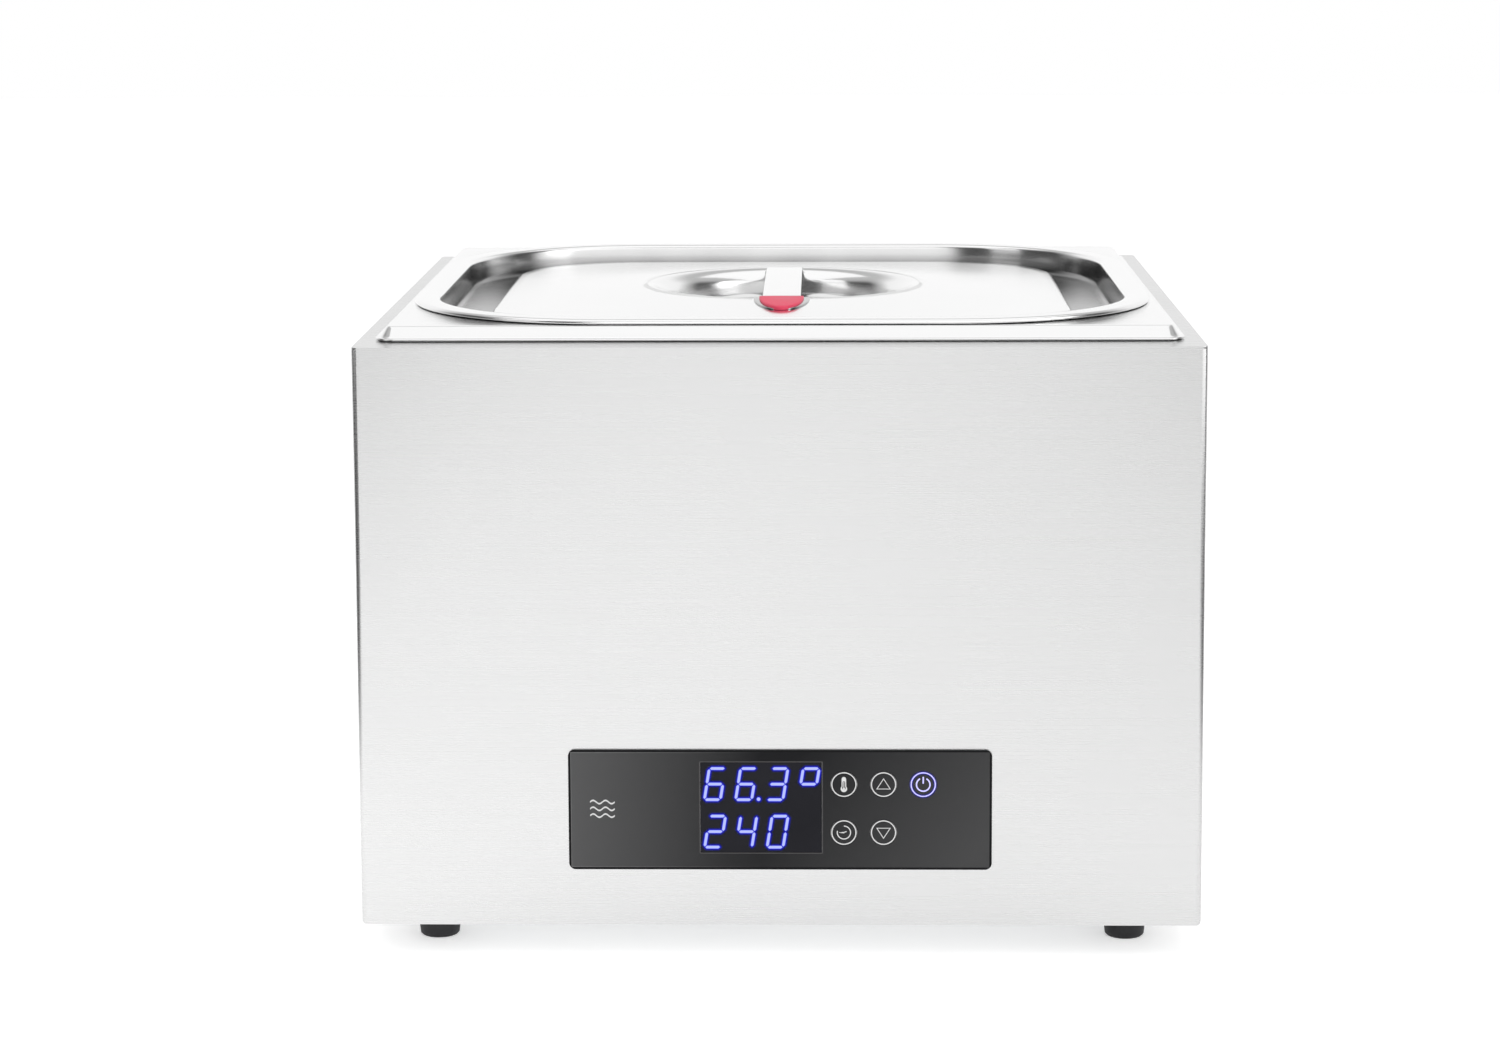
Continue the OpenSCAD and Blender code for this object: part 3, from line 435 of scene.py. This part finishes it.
def softenEdges(nodeName, width, segments):
    # welds a CAD node's loose triangles and rounds its sharp edges
    node = cadNodes[nodeName]
    weld = node.modifiers.new("weld", "WELD")
    weld.merge_threshold = 0.00001
    bevel = node.modifiers.new("soften", "BEVEL")
    bevel.width = width
    bevel.segments = segments
    bevel.limit_method = "ANGLE"
    bevel.angle_limit = math.radians(50)
    bevel.use_clamp_overlap = True


cornerSteps = 20
sideSteps = 10
wholeTurn = 4 * (cornerSteps + sideSteps)


def outline(turn, halfX, halfY, radius):
    # point number turn on a rectangle with round corners, anticlockwise from the right side
    corner, step = divmod(turn, cornerSteps + sideSteps)
    radius = min(radius, halfX, halfY)
    centres = [Vector((sx * (halfX - radius), sy * (halfY - radius)))
               for sx, sy in ((1, 1), (-1, 1), (-1, -1), (1, -1))]
    angle = (corner + min(step / cornerSteps, 1.0)) * math.pi / 2
    arm = Vector((math.cos(angle), math.sin(angle))) * radius
    if step <= cornerSteps:
        return centres[corner] + arm
    return (centres[corner] + arm).lerp(centres[(corner + 1) % 4] + arm, (step - cornerSteps) / sideSteps)


lidLow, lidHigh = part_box("lid_plate")
lidCentre = (lidLow + lidHigh) / 2
dishLow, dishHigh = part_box("handle_dish")
lidSize = {
    "rimRadius": 95.5 * mm,
    "panelRadius": 58 * mm,
    "panelInset": 37 * mm,
    "sheet": 0.8 * mm,
    "domeRadius": 1319.3 * mm,
}
dishRadius = (dishHigh.x - dishLow.x) / 2
dishTop = dishHigh.z
rimTop = lidHigh.z
domeTop = dishTop + lidSize["domeRadius"] - math.sqrt(lidSize["domeRadius"] ** 2 - dishRadius ** 2)
# inset from the rim's outer line and depth below the rim's top, in mm
lidProfile = [
    (1.4, 2.45), (0.5, 2.3), (0.12, 1.9), (0.0, 1.4), (0.25, 0.8), (0.8, 0.3), (1.7, 0.05), (3.0, 0.0),
    (6.5, 0.0), (9.4, 0.0), (10.6, 0.12), (11.4, 0.5), (11.9, 1.2), (12.1, 2.2), (12.35, 6.0),
    (12.6, 10.2), (12.95, 11.8), (13.8, 12.9), (15.2, 13.4), (17.0, 13.5), (24.0, 13.5), (32.4, 13.5),
    (33.9, 13.3), (35.0, 12.7), (35.7, 11.7), (36.0, 10.2), (36.2, 8.4), (36.7, 7.2), (37.5, 6.5),
    (38.6, 6.15),
]
domeSteps = 18


def domeHeight(x, y):
    away = math.hypot(x, y)
    return domeTop - lidSize["domeRadius"] + math.sqrt(lidSize["domeRadius"] ** 2 - away ** 2)


def lidPlace(turn, ring):
    inset, depth, along = ring
    halfX = (lidHigh.x - lidLow.x) / 2 - inset
    halfY = (lidHigh.y - lidLow.y) / 2 - inset
    if inset < lidSize["panelInset"] - 12 * mm:
        radius = lidSize["rimRadius"] - inset
    else:
        radius = lidSize["panelRadius"] + (lidSize["panelInset"] - inset)
    square = outline(turn, halfX, halfY, radius)
    flat = square.lerp(square.normalized() * dishRadius, along)
    height = rimTop - depth
    if along > 0:
        height = domeHeight(*flat) + (height - domeHeight(*square)) * (1 - along) ** 3
    return Vector((lidCentre.x + flat.x, lidCentre.y + flat.y, height))


def wallShade(depth):
    # painted shade on the trough wall: a little darker near its top, and darkest at the bottom
    return max(0.0, min(0.55, (depth - 0.8 * mm) / (3 * mm)), min(1.0, (depth - 2.2 * mm) / (7 * mm)))


def makeLid():
    bm = newShape()
    rings = [(inset * mm, depth * mm, 0.0) for inset, depth in lidProfile]
    rings += [(*rings[-1][:2], step / domeSteps) for step in range(1, domeSteps + 1)]
    # painted shade in the trough between the rim and the panel, darker with depth
    wellShade = [wallShade(depth) if 12 * mm < inset < 36.1 * mm else 0.0 for inset, depth, along in rings]
    loft(bm, rings, wholeTurn, lidPlace, wellShade)
    piece = finishPiece("lidShell", bm, looks["lid_steel"], "lid", 60.0,
                        ((0.1, lidCentre.y, domeTop), (0, 0, 1)))
    addSheet(piece, lidSize["sheet"])
    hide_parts("lid_plate")


dishSize = {"edge": 9.0 * mm, "depth": 14.0 * mm, "fillet": 3.4 * mm, "steep": math.radians(75),
            "sheet": 0.8 * mm}


def makeDish():
    # rolled edge, steep wall, fillet and floor, from the outside in
    edge, fillet, steep = dishSize["edge"], dishSize["fillet"], dishSize["steep"]
    floor = dishTop - dishSize["depth"]
    rings = []
    for step in range(15):
        angle = steep * step / 14
        rings.append((dishRadius - edge * math.sin(angle), dishTop - edge * (1 - math.cos(angle))))
    drop = rings[-1][1] - floor - fillet * (1 - math.cos(steep))
    footRadius = rings[-1][0] - drop / math.tan(steep) - fillet * math.sin(steep)
    for step in range(9):
        angle = steep * (1 - step / 8)
        rings.append((footRadius + fillet * math.sin(angle), floor + fillet * (1 - math.cos(angle))))
    rings += [(footRadius * share, floor) for share in (0.8, 0.55, 0.3, 0.05)]

    def dishPlace(turn, ring):
        radius, height = ring
        angle = 2 * math.pi * turn / wholeTurn
        return Vector((lidCentre.x + radius * math.cos(angle), lidCentre.y + radius * math.sin(angle),
                       height))

    bm = newShape()
    # painted shade on the dish's deep wall and floor, at most a fifth of full
    wellShade = [max(0.0, min(0.2, (dishTop - height - 7 * mm) / (9 * mm))) for radius, height in rings]
    cap(bm, loft(bm, rings, wholeTurn, dishPlace, wellShade)[1])
    piece = finishPiece("dishShell", bm, looks["lid_steel"], "lid", 60.0,
                        ((0, lidCentre.y, floor), (0, 0, 1)))
    addSheet(piece, dishSize["sheet"])
    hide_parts("handle_dish")


strapSize = {"width": 18 * mm, "thick": 1.5 * mm, "lap": 3 * mm,
             "footWidth": 26.4 * mm, "footLength": 30 * mm, "footThick": 0.8 * mm,
             "padWidth": 21 * mm, "padLength": 27.5 * mm, "padThick": 1.2 * mm, "padStart": 3 * mm}


def halfMoon(turn, width, length):
    # the first quarter of the points on a straight back edge, the rest on a bow to the front
    straight = 0.25
    share = turn / wholeTurn
    if share < straight:
        return Vector((width / 2 - width * share / straight, 0.0))
    angle = math.pi * (share - straight) / (1 - straight)
    return Vector((-width / 2 * math.cos(angle), -length * math.sin(angle)))


def makeStrap():
    size = strapSize
    middle = size["thick"] / 2
    level = dishTop + middle
    # place along Y, height of the strap's middle, its slope, its width and its thickness
    path = [(-dishRadius - size["lap"], level, 0.0, 17.0 * mm, 0.9 * mm),
            (-dishRadius - size["lap"] + 0.6 * mm, level, 0.0, 17.8 * mm, size["thick"])]
    path += [(y * mm, level + 0.3 * mm * math.cos(y / 66 * math.pi / 2), 0.0, size["width"], size["thick"])
             for y in (-62, -50, -30, -10, 10, 30, 46, 52)]
    path += [(y * mm, dishTop + (middle - drop * mm), math.radians(-slope), width * mm, size["thick"])
             for y, drop, slope, width in ((54.5, 0.15, 8, 18.2), (57, 0.7, 14, 18.8), (60, 1.5, 14, 19.4),
                                           (62.5, 2.0, 8, 19.6), (64.5, 2.05, -2, 19.4))]
    path.append((path[-1][0] + 0.5 * mm, path[-1][1], path[-1][2], 18.6 * mm, 0.9 * mm))

    def strapPlace(turn, ring):
        y, z, slope, width, thick = ring
        flat = outline(turn, width / 2, thick / 2, 0.5 * mm)
        return Vector((lidCentre.x + flat.x, lidCentre.y + y - flat.y * math.sin(slope),
                       z + flat.y * math.cos(slope)))

    bm = newShape()
    for end in loft(bm, path, wholeTurn, strapPlace):
        cap(bm, end)

    def footPlace(turn, ring):
        share, lift = ring
        flat = halfMoon(turn, size["footWidth"] * share, size["footLength"] * share)
        flat.y += -dishRadius - size["footLength"] * (1 - share) * 0.4
        return Vector((lidCentre.x + flat.x, lidCentre.y + flat.y,
                       domeHeight(*flat) + lift * size["footThick"]))

    footRings = [(0.985, 0.02), (1.0, 0.2), (1.0, 0.7), (0.985, 0.95), (0.96, 1.0), (0.6, 1.0), (0.2, 1.0)]
    # the foot plate carries a fixed 0.7 share of painted shade
    cap(bm, loft(bm, footRings, wholeTurn, footPlace, [0.7] * len(footRings))[1])
    piece = finishPiece("strapAndFoot", bm, looks["lid_steel"], "lid", 35.0)
    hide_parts("handle_strap")


def makePad():
    size = strapSize

    def padPlace(turn, ring):
        share, lift = ring
        flat = halfMoon(turn, size["padWidth"] * share, size["padLength"] * share)
        flat.y += -dishRadius - size["padStart"] - size["padLength"] * (1 - share) * 0.4
        return Vector((lidCentre.x + flat.x, lidCentre.y + flat.y,
                       domeHeight(*flat) + size["footThick"] + lift * size["padThick"]))

    bm = newShape()
    rings = [(1.0, -0.5), (1.0, 0.0), (1.0, 0.5), (0.98, 0.78), (0.93, 0.95), (0.85, 1.02), (0.6, 1.1),
             (0.25, 1.15)]
    cap(bm, loft(bm, rings, wholeTurn, padPlace)[1])
    piece = finishPiece("padMoulding", bm, looks["red_silicone"], "lid", 50.0)
    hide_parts("thumb_pad")


makeLid()
makeDish()
makeStrap()
makePad()
print("lid, dish, strap and pad made")


tankLow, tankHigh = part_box("tank")
tankSize = {"borderRise": 5 * mm, "lipRadius": 9 * mm, "sheet": 1.0 * mm, "mouthX": 163 * mm,
            "mouthY": 153.65 * mm, "mouthRadius": 86 * mm, "mouthFillet": 2.6 * mm,
            "wallHeight": 120 * mm, "floorFillet": 15 * mm}


def makeTank():
    # from the lip's edge over the raised border and down into the bath
    size = tankSize
    halfX = (tankHigh.x - tankLow.x) / 2
    halfY = (tankHigh.y - tankLow.y) / 2
    centreY = (tankHigh.y + tankLow.y) / 2
    borderTop = tankHigh.z
    lipTop = borderTop - size["borderRise"]
    floor = tankLow.z + size["sheet"]
    rings = []
    # inset from the lip's outer line and height above the lip, in mm
    for inset, height in ((0.12, -0.75), (0.0, -0.4), (0.12, -0.12), (0.4, 0.0), (1.5, 0.0),
                          (1.85, 0.08), (2.15, 0.35), (2.5, 0.9), (4.6, 4.15), (4.9, 4.55),
                          (5.25, 4.85), (5.8, 5.0), (7.0, 5.0)):
        rings.append((halfX - inset * mm, halfY - inset * mm,
                      max(size["lipRadius"] - inset * mm, 1.5 * mm), lipTop + height * mm))
    fillet = size["mouthFillet"]
    for step in range(7):
        angle = math.radians(90 * step / 6)
        out = fillet * (1 - math.sin(angle))
        rings.append((size["mouthX"] + out, size["mouthY"] + out, size["mouthRadius"] + out,
                      borderTop - fillet + fillet * math.cos(angle)))
    fillet = size["floorFillet"]
    for height in (0.8, 0.6, 0.4, 0.2):
        rings.append((size["mouthX"], size["mouthY"], size["mouthRadius"],
                      floor + fillet + height * size["wallHeight"]))
    for step in range(9):
        angle = math.radians(90 * step / 8)
        out = -fillet * (1 - math.cos(angle))
        rings.append((size["mouthX"] + out, size["mouthY"] + out, size["mouthRadius"] + out,
                      floor + fillet - fillet * math.sin(angle)))
    for share in (0.8, 0.5, 0.2, 0.04):
        rings.append((size["mouthX"] * share, size["mouthY"] * share, size["mouthRadius"] * share, floor))

    def tankPlace(turn, ring):
        *sizes, height = ring
        flat = outline(turn, *sizes)
        return Vector((flat.x, centreY + flat.y, height))

    bm = newShape()
    cap(bm, loft(bm, rings, wholeTurn, tankPlace)[1])
    piece = finishPiece("tankShell", bm, looks["tank_steel"], "root", 70.0,
                        ((0, centreY, floor), (0, 0, 1)))
    addSheet(piece, size["sheet"])
    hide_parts("tank")


makeTank()
for nodeName, width, segments in (
        ("casing_wrap", 0.25 * mm, 3), ("top_deck", 0.22 * mm, 2), ("panel_overlay", 0.2 * mm, 2),
        ("display_window", 0.2 * mm, 2), ("tray", 0.3 * mm, 2), ("inlet_body", 0.5 * mm, 3),
        ("inlet_pins", 0.3 * mm, 2), ("foot_front_left", 1.2 * mm, 4), ("foot_front_right", 1.2 * mm, 4),
        ("foot_rear_left", 1.2 * mm, 4), ("foot_rear_right", 1.2 * mm, 4),
        ("base_screws", 0.35 * mm, 3), ("rear_screws", 0.35 * mm, 3)):
    softenEdges(nodeName, width, segments)
print("tank made and edges softened")


# prints and lights lie just in front of the panel and point to the front
panelFace = panelLow.y
inkLift = 0.03 * mm


def onPanel(x, z, lift=1.0):
    return Vector((x, panelFace - inkLift * lift, z))


def convexRings(bm, corners, growths, hearts, lift, count=28):
    # rings round a convex shape, grown by less each time, and a face inside the last one
    def place(turn, growth):
        angle = 2 * math.pi * turn / count
        way = Vector((math.cos(angle), math.sin(angle)))
        corner = max(corners, key=lambda point: point.dot(way))
        spot = corner + way * growth
        return onPanel(spot.x, spot.y, lift)

    cap(bm, loft(bm, growths, count, place, hearts)[1])


def ringPrint(bm, centre, radius, stroke, lift=1.0, hearts=None):
    count = 72

    def place(turn, reach):
        angle = 2 * math.pi * turn / count
        return onPanel(centre.x + reach * math.cos(angle), centre.y + reach * math.sin(angle), lift)

    reaches = [radius - stroke / 2, radius + stroke / 2]
    if hearts:
        reaches = [radius + (share - 0.5) * stroke for share in (0.0, 0.2, 0.35, 0.5, 0.65, 0.8, 1.0)]
    loft(bm, reaches, count, place, hearts)


def arcPrint(bm, centre, radius, stroke, start, sweep):
    # a short radial edge spun round the centre, in degrees
    way = Vector((math.cos(math.radians(start)), math.sin(math.radians(start))))
    ends = [bmesh.ops.create_vert(bm, co=onPanel(*(centre + way * reach)))["vert"][0]
            for reach in (radius - stroke / 2, radius + stroke / 2)]
    edge = bmesh.ops.contextual_create(bm, geom=ends)["edges"]
    bmesh.ops.spin(bm, geom=ends + edge, cent=onPanel(centre.x, centre.y), axis=(0, -1, 0),
                   angle=math.radians(sweep), steps=max(6, int(abs(sweep) / 6)))


def shapePrint(bm, corners):
    convexRings(bm, corners, (0.06 * mm,), None, 1.0, 24)


def framedPrint(bm, corners, stroke):
    # the outline of a convex shape: the same corners, moved in towards its middle
    middle = sum(corners, Vector((0.0, 0.0))) / len(corners)
    inner = min((corner - middle).length for corner in corners)

    def place(turn, share):
        spot = middle + (corners[turn] - middle) * share
        return onPanel(spot.x, spot.y)

    loft(bm, (1.0, 1.0 - stroke * 2.0 / inner), len(corners), place)


def flatPiece(name, bm, material, body):
    return finishPiece(name, bm, material, body, 40.0, (panelLow, (0, -1, 0)))


keyRow = {"upper": 79.7 * mm, "lower": 57.8 * mm}
keyColumn = {"first": 28.4 * mm, "pitch": 17.6 * mm}
keyPlaces = {
    "temperature": (0, "upper"), "up": (1, "upper"), "power": (2, "upper"),
    "timer": (0, "lower"), "down": (1, "lower"),
}
keyRing = {"radius": 5.35 * mm, "stroke": 0.48 * mm, "glow": 2.6 * mm}


def arcPoints(centre, radius, start, sweep, steps):
    # points on an arc, in degrees anticlockwise from the right
    angles = [math.radians(start + sweep * step / steps) for step in range(steps + 1)]
    return [centre + Vector((math.cos(angle), math.sin(angle))) * radius for angle in angles]


def keyGlyph(bm, key, centre):
    def at(x, z):
        return centre + Vector((x * mm, z * mm))

    if key == "temperature":
        stem = [at(math.cos(angle), 2.5 + math.sin(angle)) for angle in (0, 0.8, 1.57, 2.34, 3.14)]
        bulb = arcPoints(at(0, -2.0), 1.45 * mm, 135, 270, 16)
        framedPrint(bm, stem + bulb, 0.22 * mm)
        shapePrint(bm, arcPoints(at(0, -2.0), 0.55 * mm, 0, 330, 11))
        shapePrint(bm, [at(-0.12, -1.6), at(0.12, -1.6), at(0.12, 1.2), at(-0.12, 1.2)])
    elif key in ("up", "down"):
        way = 1 if key == "up" else -1
        framedPrint(bm, [at(0, 2.9 * way), at(-3.25, -2.15 * way), at(3.25, -2.15 * way)], 0.29 * mm)
    elif key == "power":
        arcPrint(bm, centre, 3.0 * mm, 0.6 * mm, 118, 304)
        shapePrint(bm, [at(-0.24, 0.5), at(0.24, 0.5), at(0.24, 3.5), at(-0.24, 3.5)])
    else:
        arcPrint(bm, centre, 2.95 * mm, 0.45 * mm, 90, -285)
        shapePrint(bm, [at(0.1, 0.25), at(-2.1, 0.0), at(0.1, -0.3)])
        shapePrint(bm, [at(-0.1, 0.2), at(0.35, 0.0), at(1.2, 0.35), at(1.1, 0.6)])


for key, (column, row) in keyPlaces.items():
    centre = Vector((keyColumn["first"] + column * keyColumn["pitch"], keyRow[row]))
    bm = newShape()
    ringPrint(bm, centre, keyRing["radius"], keyRing["stroke"])
    keyGlyph(bm, key, centre)
    ink = powerPrint if key == "power" else keyPrint
    flatPiece(key + "Print", bm, ink, body_of(cadNodes["key_" + key])[0])

bm = newShape()
powerCentre = Vector((keyColumn["first"] + 2 * keyColumn["pitch"], keyRow["upper"]))
ringPrint(bm, powerCentre, keyRing["radius"], keyRing["glow"], 0.5, (0.0, 0.35, 0.8, 1.0, 0.8, 0.35, 0.0))
flatPiece("powerGlow", bm, powerGlow, "root")
print("keys printed")


windowLow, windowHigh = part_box("display_window")
displayRows = {"upper": 79.85 * mm, "lower": 58.15 * mm}
digitColumns = [-28.9 * mm, -15.0 * mm, -1.1 * mm, 12.8 * mm]
digitSize = {"width": 8.4 * mm, "height": 15.5 * mm, "stroke": 1.3 * mm, "slant": math.radians(9),
             "gap": 0.28 * mm}
digitSegments = {
    "0": "abcdef", "2": "abged", "3": "abgcd", "4": "fgbc", "6": "afgedc", "degree": "abgf",
}
shownRows = (("upper", ("6", "6", "3", "degree")), ("lower", ("2", "4", "0")))
pointSize = {"x": -9.5 * mm, "z": 73.0 * mm, "radius": 0.85 * mm}


def segmentCorners(letter, centre):
    # six corners of one bar of a seven-bar digit, leaning to the right
    halfW = (digitSize["width"] - digitSize["stroke"]) / 2
    halfH = (digitSize["height"] - digitSize["stroke"]) / 2
    half = digitSize["stroke"] / 2
    middles = {"a": (0, halfH), "g": (0, 0), "d": (0, -halfH), "b": (halfW, halfH / 2),
               "c": (halfW, -halfH / 2), "f": (-halfW, halfH / 2), "e": (-halfW, -halfH / 2)}
    x, z = middles[letter]
    level = letter in "agd"
    reach = (halfW if level else halfH / 2) - digitSize["gap"]
    shape = [(reach, 0), (reach - half, half), (half - reach, half), (-reach, 0), (half - reach, -half),
             (reach - half, -half)]
    corners = []
    for along, across in shape:
        dx, dz = (along, across) if level else (across, along)
        lean = (z + dz) * math.tan(digitSize["slant"])
        corners.append(Vector((centre.x + x + dx + lean, centre.y + z + dz)))
    return corners


def litShapes():
    shapes = []
    for row, glyphs in shownRows:
        for column, glyph in zip(digitColumns, glyphs):
            centre = Vector((column, displayRows[row]))
            shapes += [segmentCorners(letter, centre) for letter in digitSegments[glyph]]
    point = Vector((pointSize["x"], pointSize["z"]))
    shapes.append(arcPoints(point, pointSize["radius"], 0, 330, 11))
    return shapes


bars = newShape()
halos = newShape()
for corners in litShapes():
    convexRings(bars, corners, (0.05 * mm, -0.18 * mm, -0.34 * mm), (0.0, 0.9, 1.0), 1.5)
    convexRings(halos, corners, (1.5 * mm, 1.05 * mm, 0.65 * mm, 0.3 * mm, 0.02 * mm),
                (0.0, 0.2, 0.5, 0.85, 1.0), 0.6)
flatPiece("litBars", bars, segmentLight, "root")
flatPiece("barGlow", halos, segmentGlow, "root")


def makeWindowFrame():
    middle = (windowLow + windowHigh) / 2
    half = (windowHigh - windowLow) / 2

    def place(turn, growth):
        flat = outline(turn, half.x + growth, half.z + growth, 0.5 * mm)
        return onPanel(middle.x + flat.x, middle.z + flat.y)

    bm = newShape()
    loft(bm, (0.05 * mm, 0.5 * mm), wholeTurn, place)
    flatPiece("windowFrame", bm, framePrint, "root")


waveSize = {"x": -79 * mm, "z": 68.5 * mm, "length": 11 * mm, "pitch": 3.1 * mm, "swing": 0.75 * mm,
            "stroke": 0.75 * mm}


def makeWaveMark():
    # three wave lines, a plain sign for the water bath
    size = waveSize
    bm = newShape()
    for row in (-1, 0, 1):
        for vert in bmesh.ops.create_grid(bm, x_segments=40, y_segments=1, size=0.5)["verts"]:
            along, across = vert.co.x, vert.co.y
            wave = math.sin(along * 4 * math.pi) * size["swing"]
            vert.co = onPanel(size["x"] + along * size["length"],
                              size["z"] + row * size["pitch"] + wave + across * size["stroke"])
    flatPiece("waveMark", bm, markPrint, "root")


makeWindowFrame()
makeWaveMark()
print("display and panel printed")


cameraSet = {"offsetX": 20.33 * mm, "distance": 1497.23 * mm, "height": 478.29 * mm, "lens": 83.021,
             "sensor": 36.0, "shiftY": -0.12, "tilt": 0.13336, "turn": 0.02185, "roll": 0.00463}


def makeCamera():
    camera = bpy.data.objects.new("mainCamera", bpy.data.cameras.new("mainCamera"))
    bpy.context.scene.collection.objects.link(camera)
    camera.data.sensor_width = cameraSet["sensor"]
    camera.data.lens = cameraSet["lens"]
    camera.data.shift_y = cameraSet["shiftY"]
    camera.data.clip_start = 0.05
    camera.data.clip_end = 30.0
    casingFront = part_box("casing_wrap")[0].y
    camera.location = (cameraSet["offsetX"], casingFront - cameraSet["distance"], cameraSet["height"])
    turned = Matrix.Rotation(cameraSet["turn"], 3, "Z")
    tilted = Matrix.Rotation(math.pi / 2 - cameraSet["tilt"], 3, "X")
    rolled = Matrix.Rotation(-cameraSet["roll"], 3, "Z")
    camera.rotation_euler = (turned @ tilted @ rolled).to_euler()
    bpy.context.scene.camera = camera


def areaLight(name, place, aim, size, power):
    lamp = bpy.data.lights.new(name, "AREA")
    lamp.shape = "RECTANGLE"
    lamp.size, lamp.size_y = size
    lamp.energy = power
    holder = bpy.data.objects.new(name, lamp)
    bpy.context.scene.collection.objects.link(holder)
    holder.location = place
    holder.rotation_euler = (Vector(aim) - Vector(place)).to_track_quat("-Z", "Y").to_euler()


roomLight = {"ambient": 0.10, "behind": 0.95, "above": 0.45, "softbox": 1.4, "floorGlow": 0.81}


def makeRoom():
    # plain white to the eye; what the steel mirrors is dark low down at the sides,
    # with a bright back, a ceiling and one softbox
    world = bpy.data.worlds.new("room")
    bpy.context.scene.world = world
    world.use_nodes = True
    tree = world.node_tree
    background = tree.nodes["Background"]
    direction = Wire(tree, tree.nodes.new("ShaderNodeTexCoord").outputs["Generated"])
    x, y, z = direction.axes()
    seen = Wire(tree, tree.nodes.new("ShaderNodeLightPath").outputs["Is Camera Ray"])
    above = z.between(0.45, 0.65)
    behind = y.between(0.15, 0.60)
    softbox = (x * 0.515 - y * 0.857).between(0.62, 0.74) * z.between(-0.25, -0.05) * (1.0 - above)
    pattern = above * roomLight["above"] + behind * (1.0 - above) * roomLight["behind"] \
        + softbox * roomLight["softbox"] + roomLight["ambient"]
    strength = seen + (1.0 - seen) * pattern
    tree.links.new(strength.socket, background.inputs["Strength"])
    background.inputs["Color"].default_value = (1.0, 1.0, 1.0, 1.0)


def makeFloor():
    bm = bmesh.new()
    bmesh.ops.create_grid(bm, x_segments=2, y_segments=2, size=6.0)
    mesh = bpy.data.meshes.new("studioFloor")
    bm.to_mesh(mesh)
    bm.free()
    floor = bpy.data.objects.new("studioFloor", mesh)
    bpy.context.scene.collection.objects.link(floor)
    paint = Paint("paleFloor", Specular_IOR_Level=0.2, Emission_Strength=roomLight["floorGlow"])
    x, y, z = paint.place.axes()
    glossy = paint.add("ShaderNodeLightPath", out="Is Glossy Ray")
    # painted light on the floor: reflected rays see it dark at the sides and dimmer to the right, and a
    # band just in front of the object glows brighter
    sides = glossy * x.abs().between(0.42, 0.70) * (1.0 - y.between(0.0, 0.4))
    front = y.between(-0.55, -0.36) * (1.0 - y.between(-0.30, -0.22)) * (1.0 - x.abs().between(0.35, 0.60))
    level = (front * 0.08 + glossy * (0.14 - x.between(-0.35, 0.35) * 0.30) + 0.56).clamp()
    tint = paint.mixColour(paint.noise(3.0, 2.0), (0.92, 0.92, 0.92), (0.94, 0.94, 0.94))
    paint.feed(Base_Color=paint.mixColour(sides, tint, (0.06, 0.06, 0.06)),
               Emission_Color=paint.mixColour(level * (1.0 - sides), (0.0, 0.0, 0.0), (1.0, 1.0, 1.0)),
               Roughness=(paint.noise(20.0, 2.0) * 0.05 + 0.7).clamp())
    mesh.materials.append(paint.material)


makeCamera()
makeRoom()
makeFloor()
areaLight("softTop", (0.0, -0.3, 1.9), (0.0, -0.1, 0.2), (2.6, 2.6), 13.0)
areaLight("softLeft", (-1.7, -1.2, 1.1), (0.0, 0.0, 0.15), (1.0, 1.4), 4.0)
areaLight("softRight", (1.8, -1.0, 1.0), (0.0, 0.0, 0.15), (0.8, 1.2), 3.0)
bpy.context.scene.view_settings.view_transform = "Standard"
print("camera, room and lights ready")
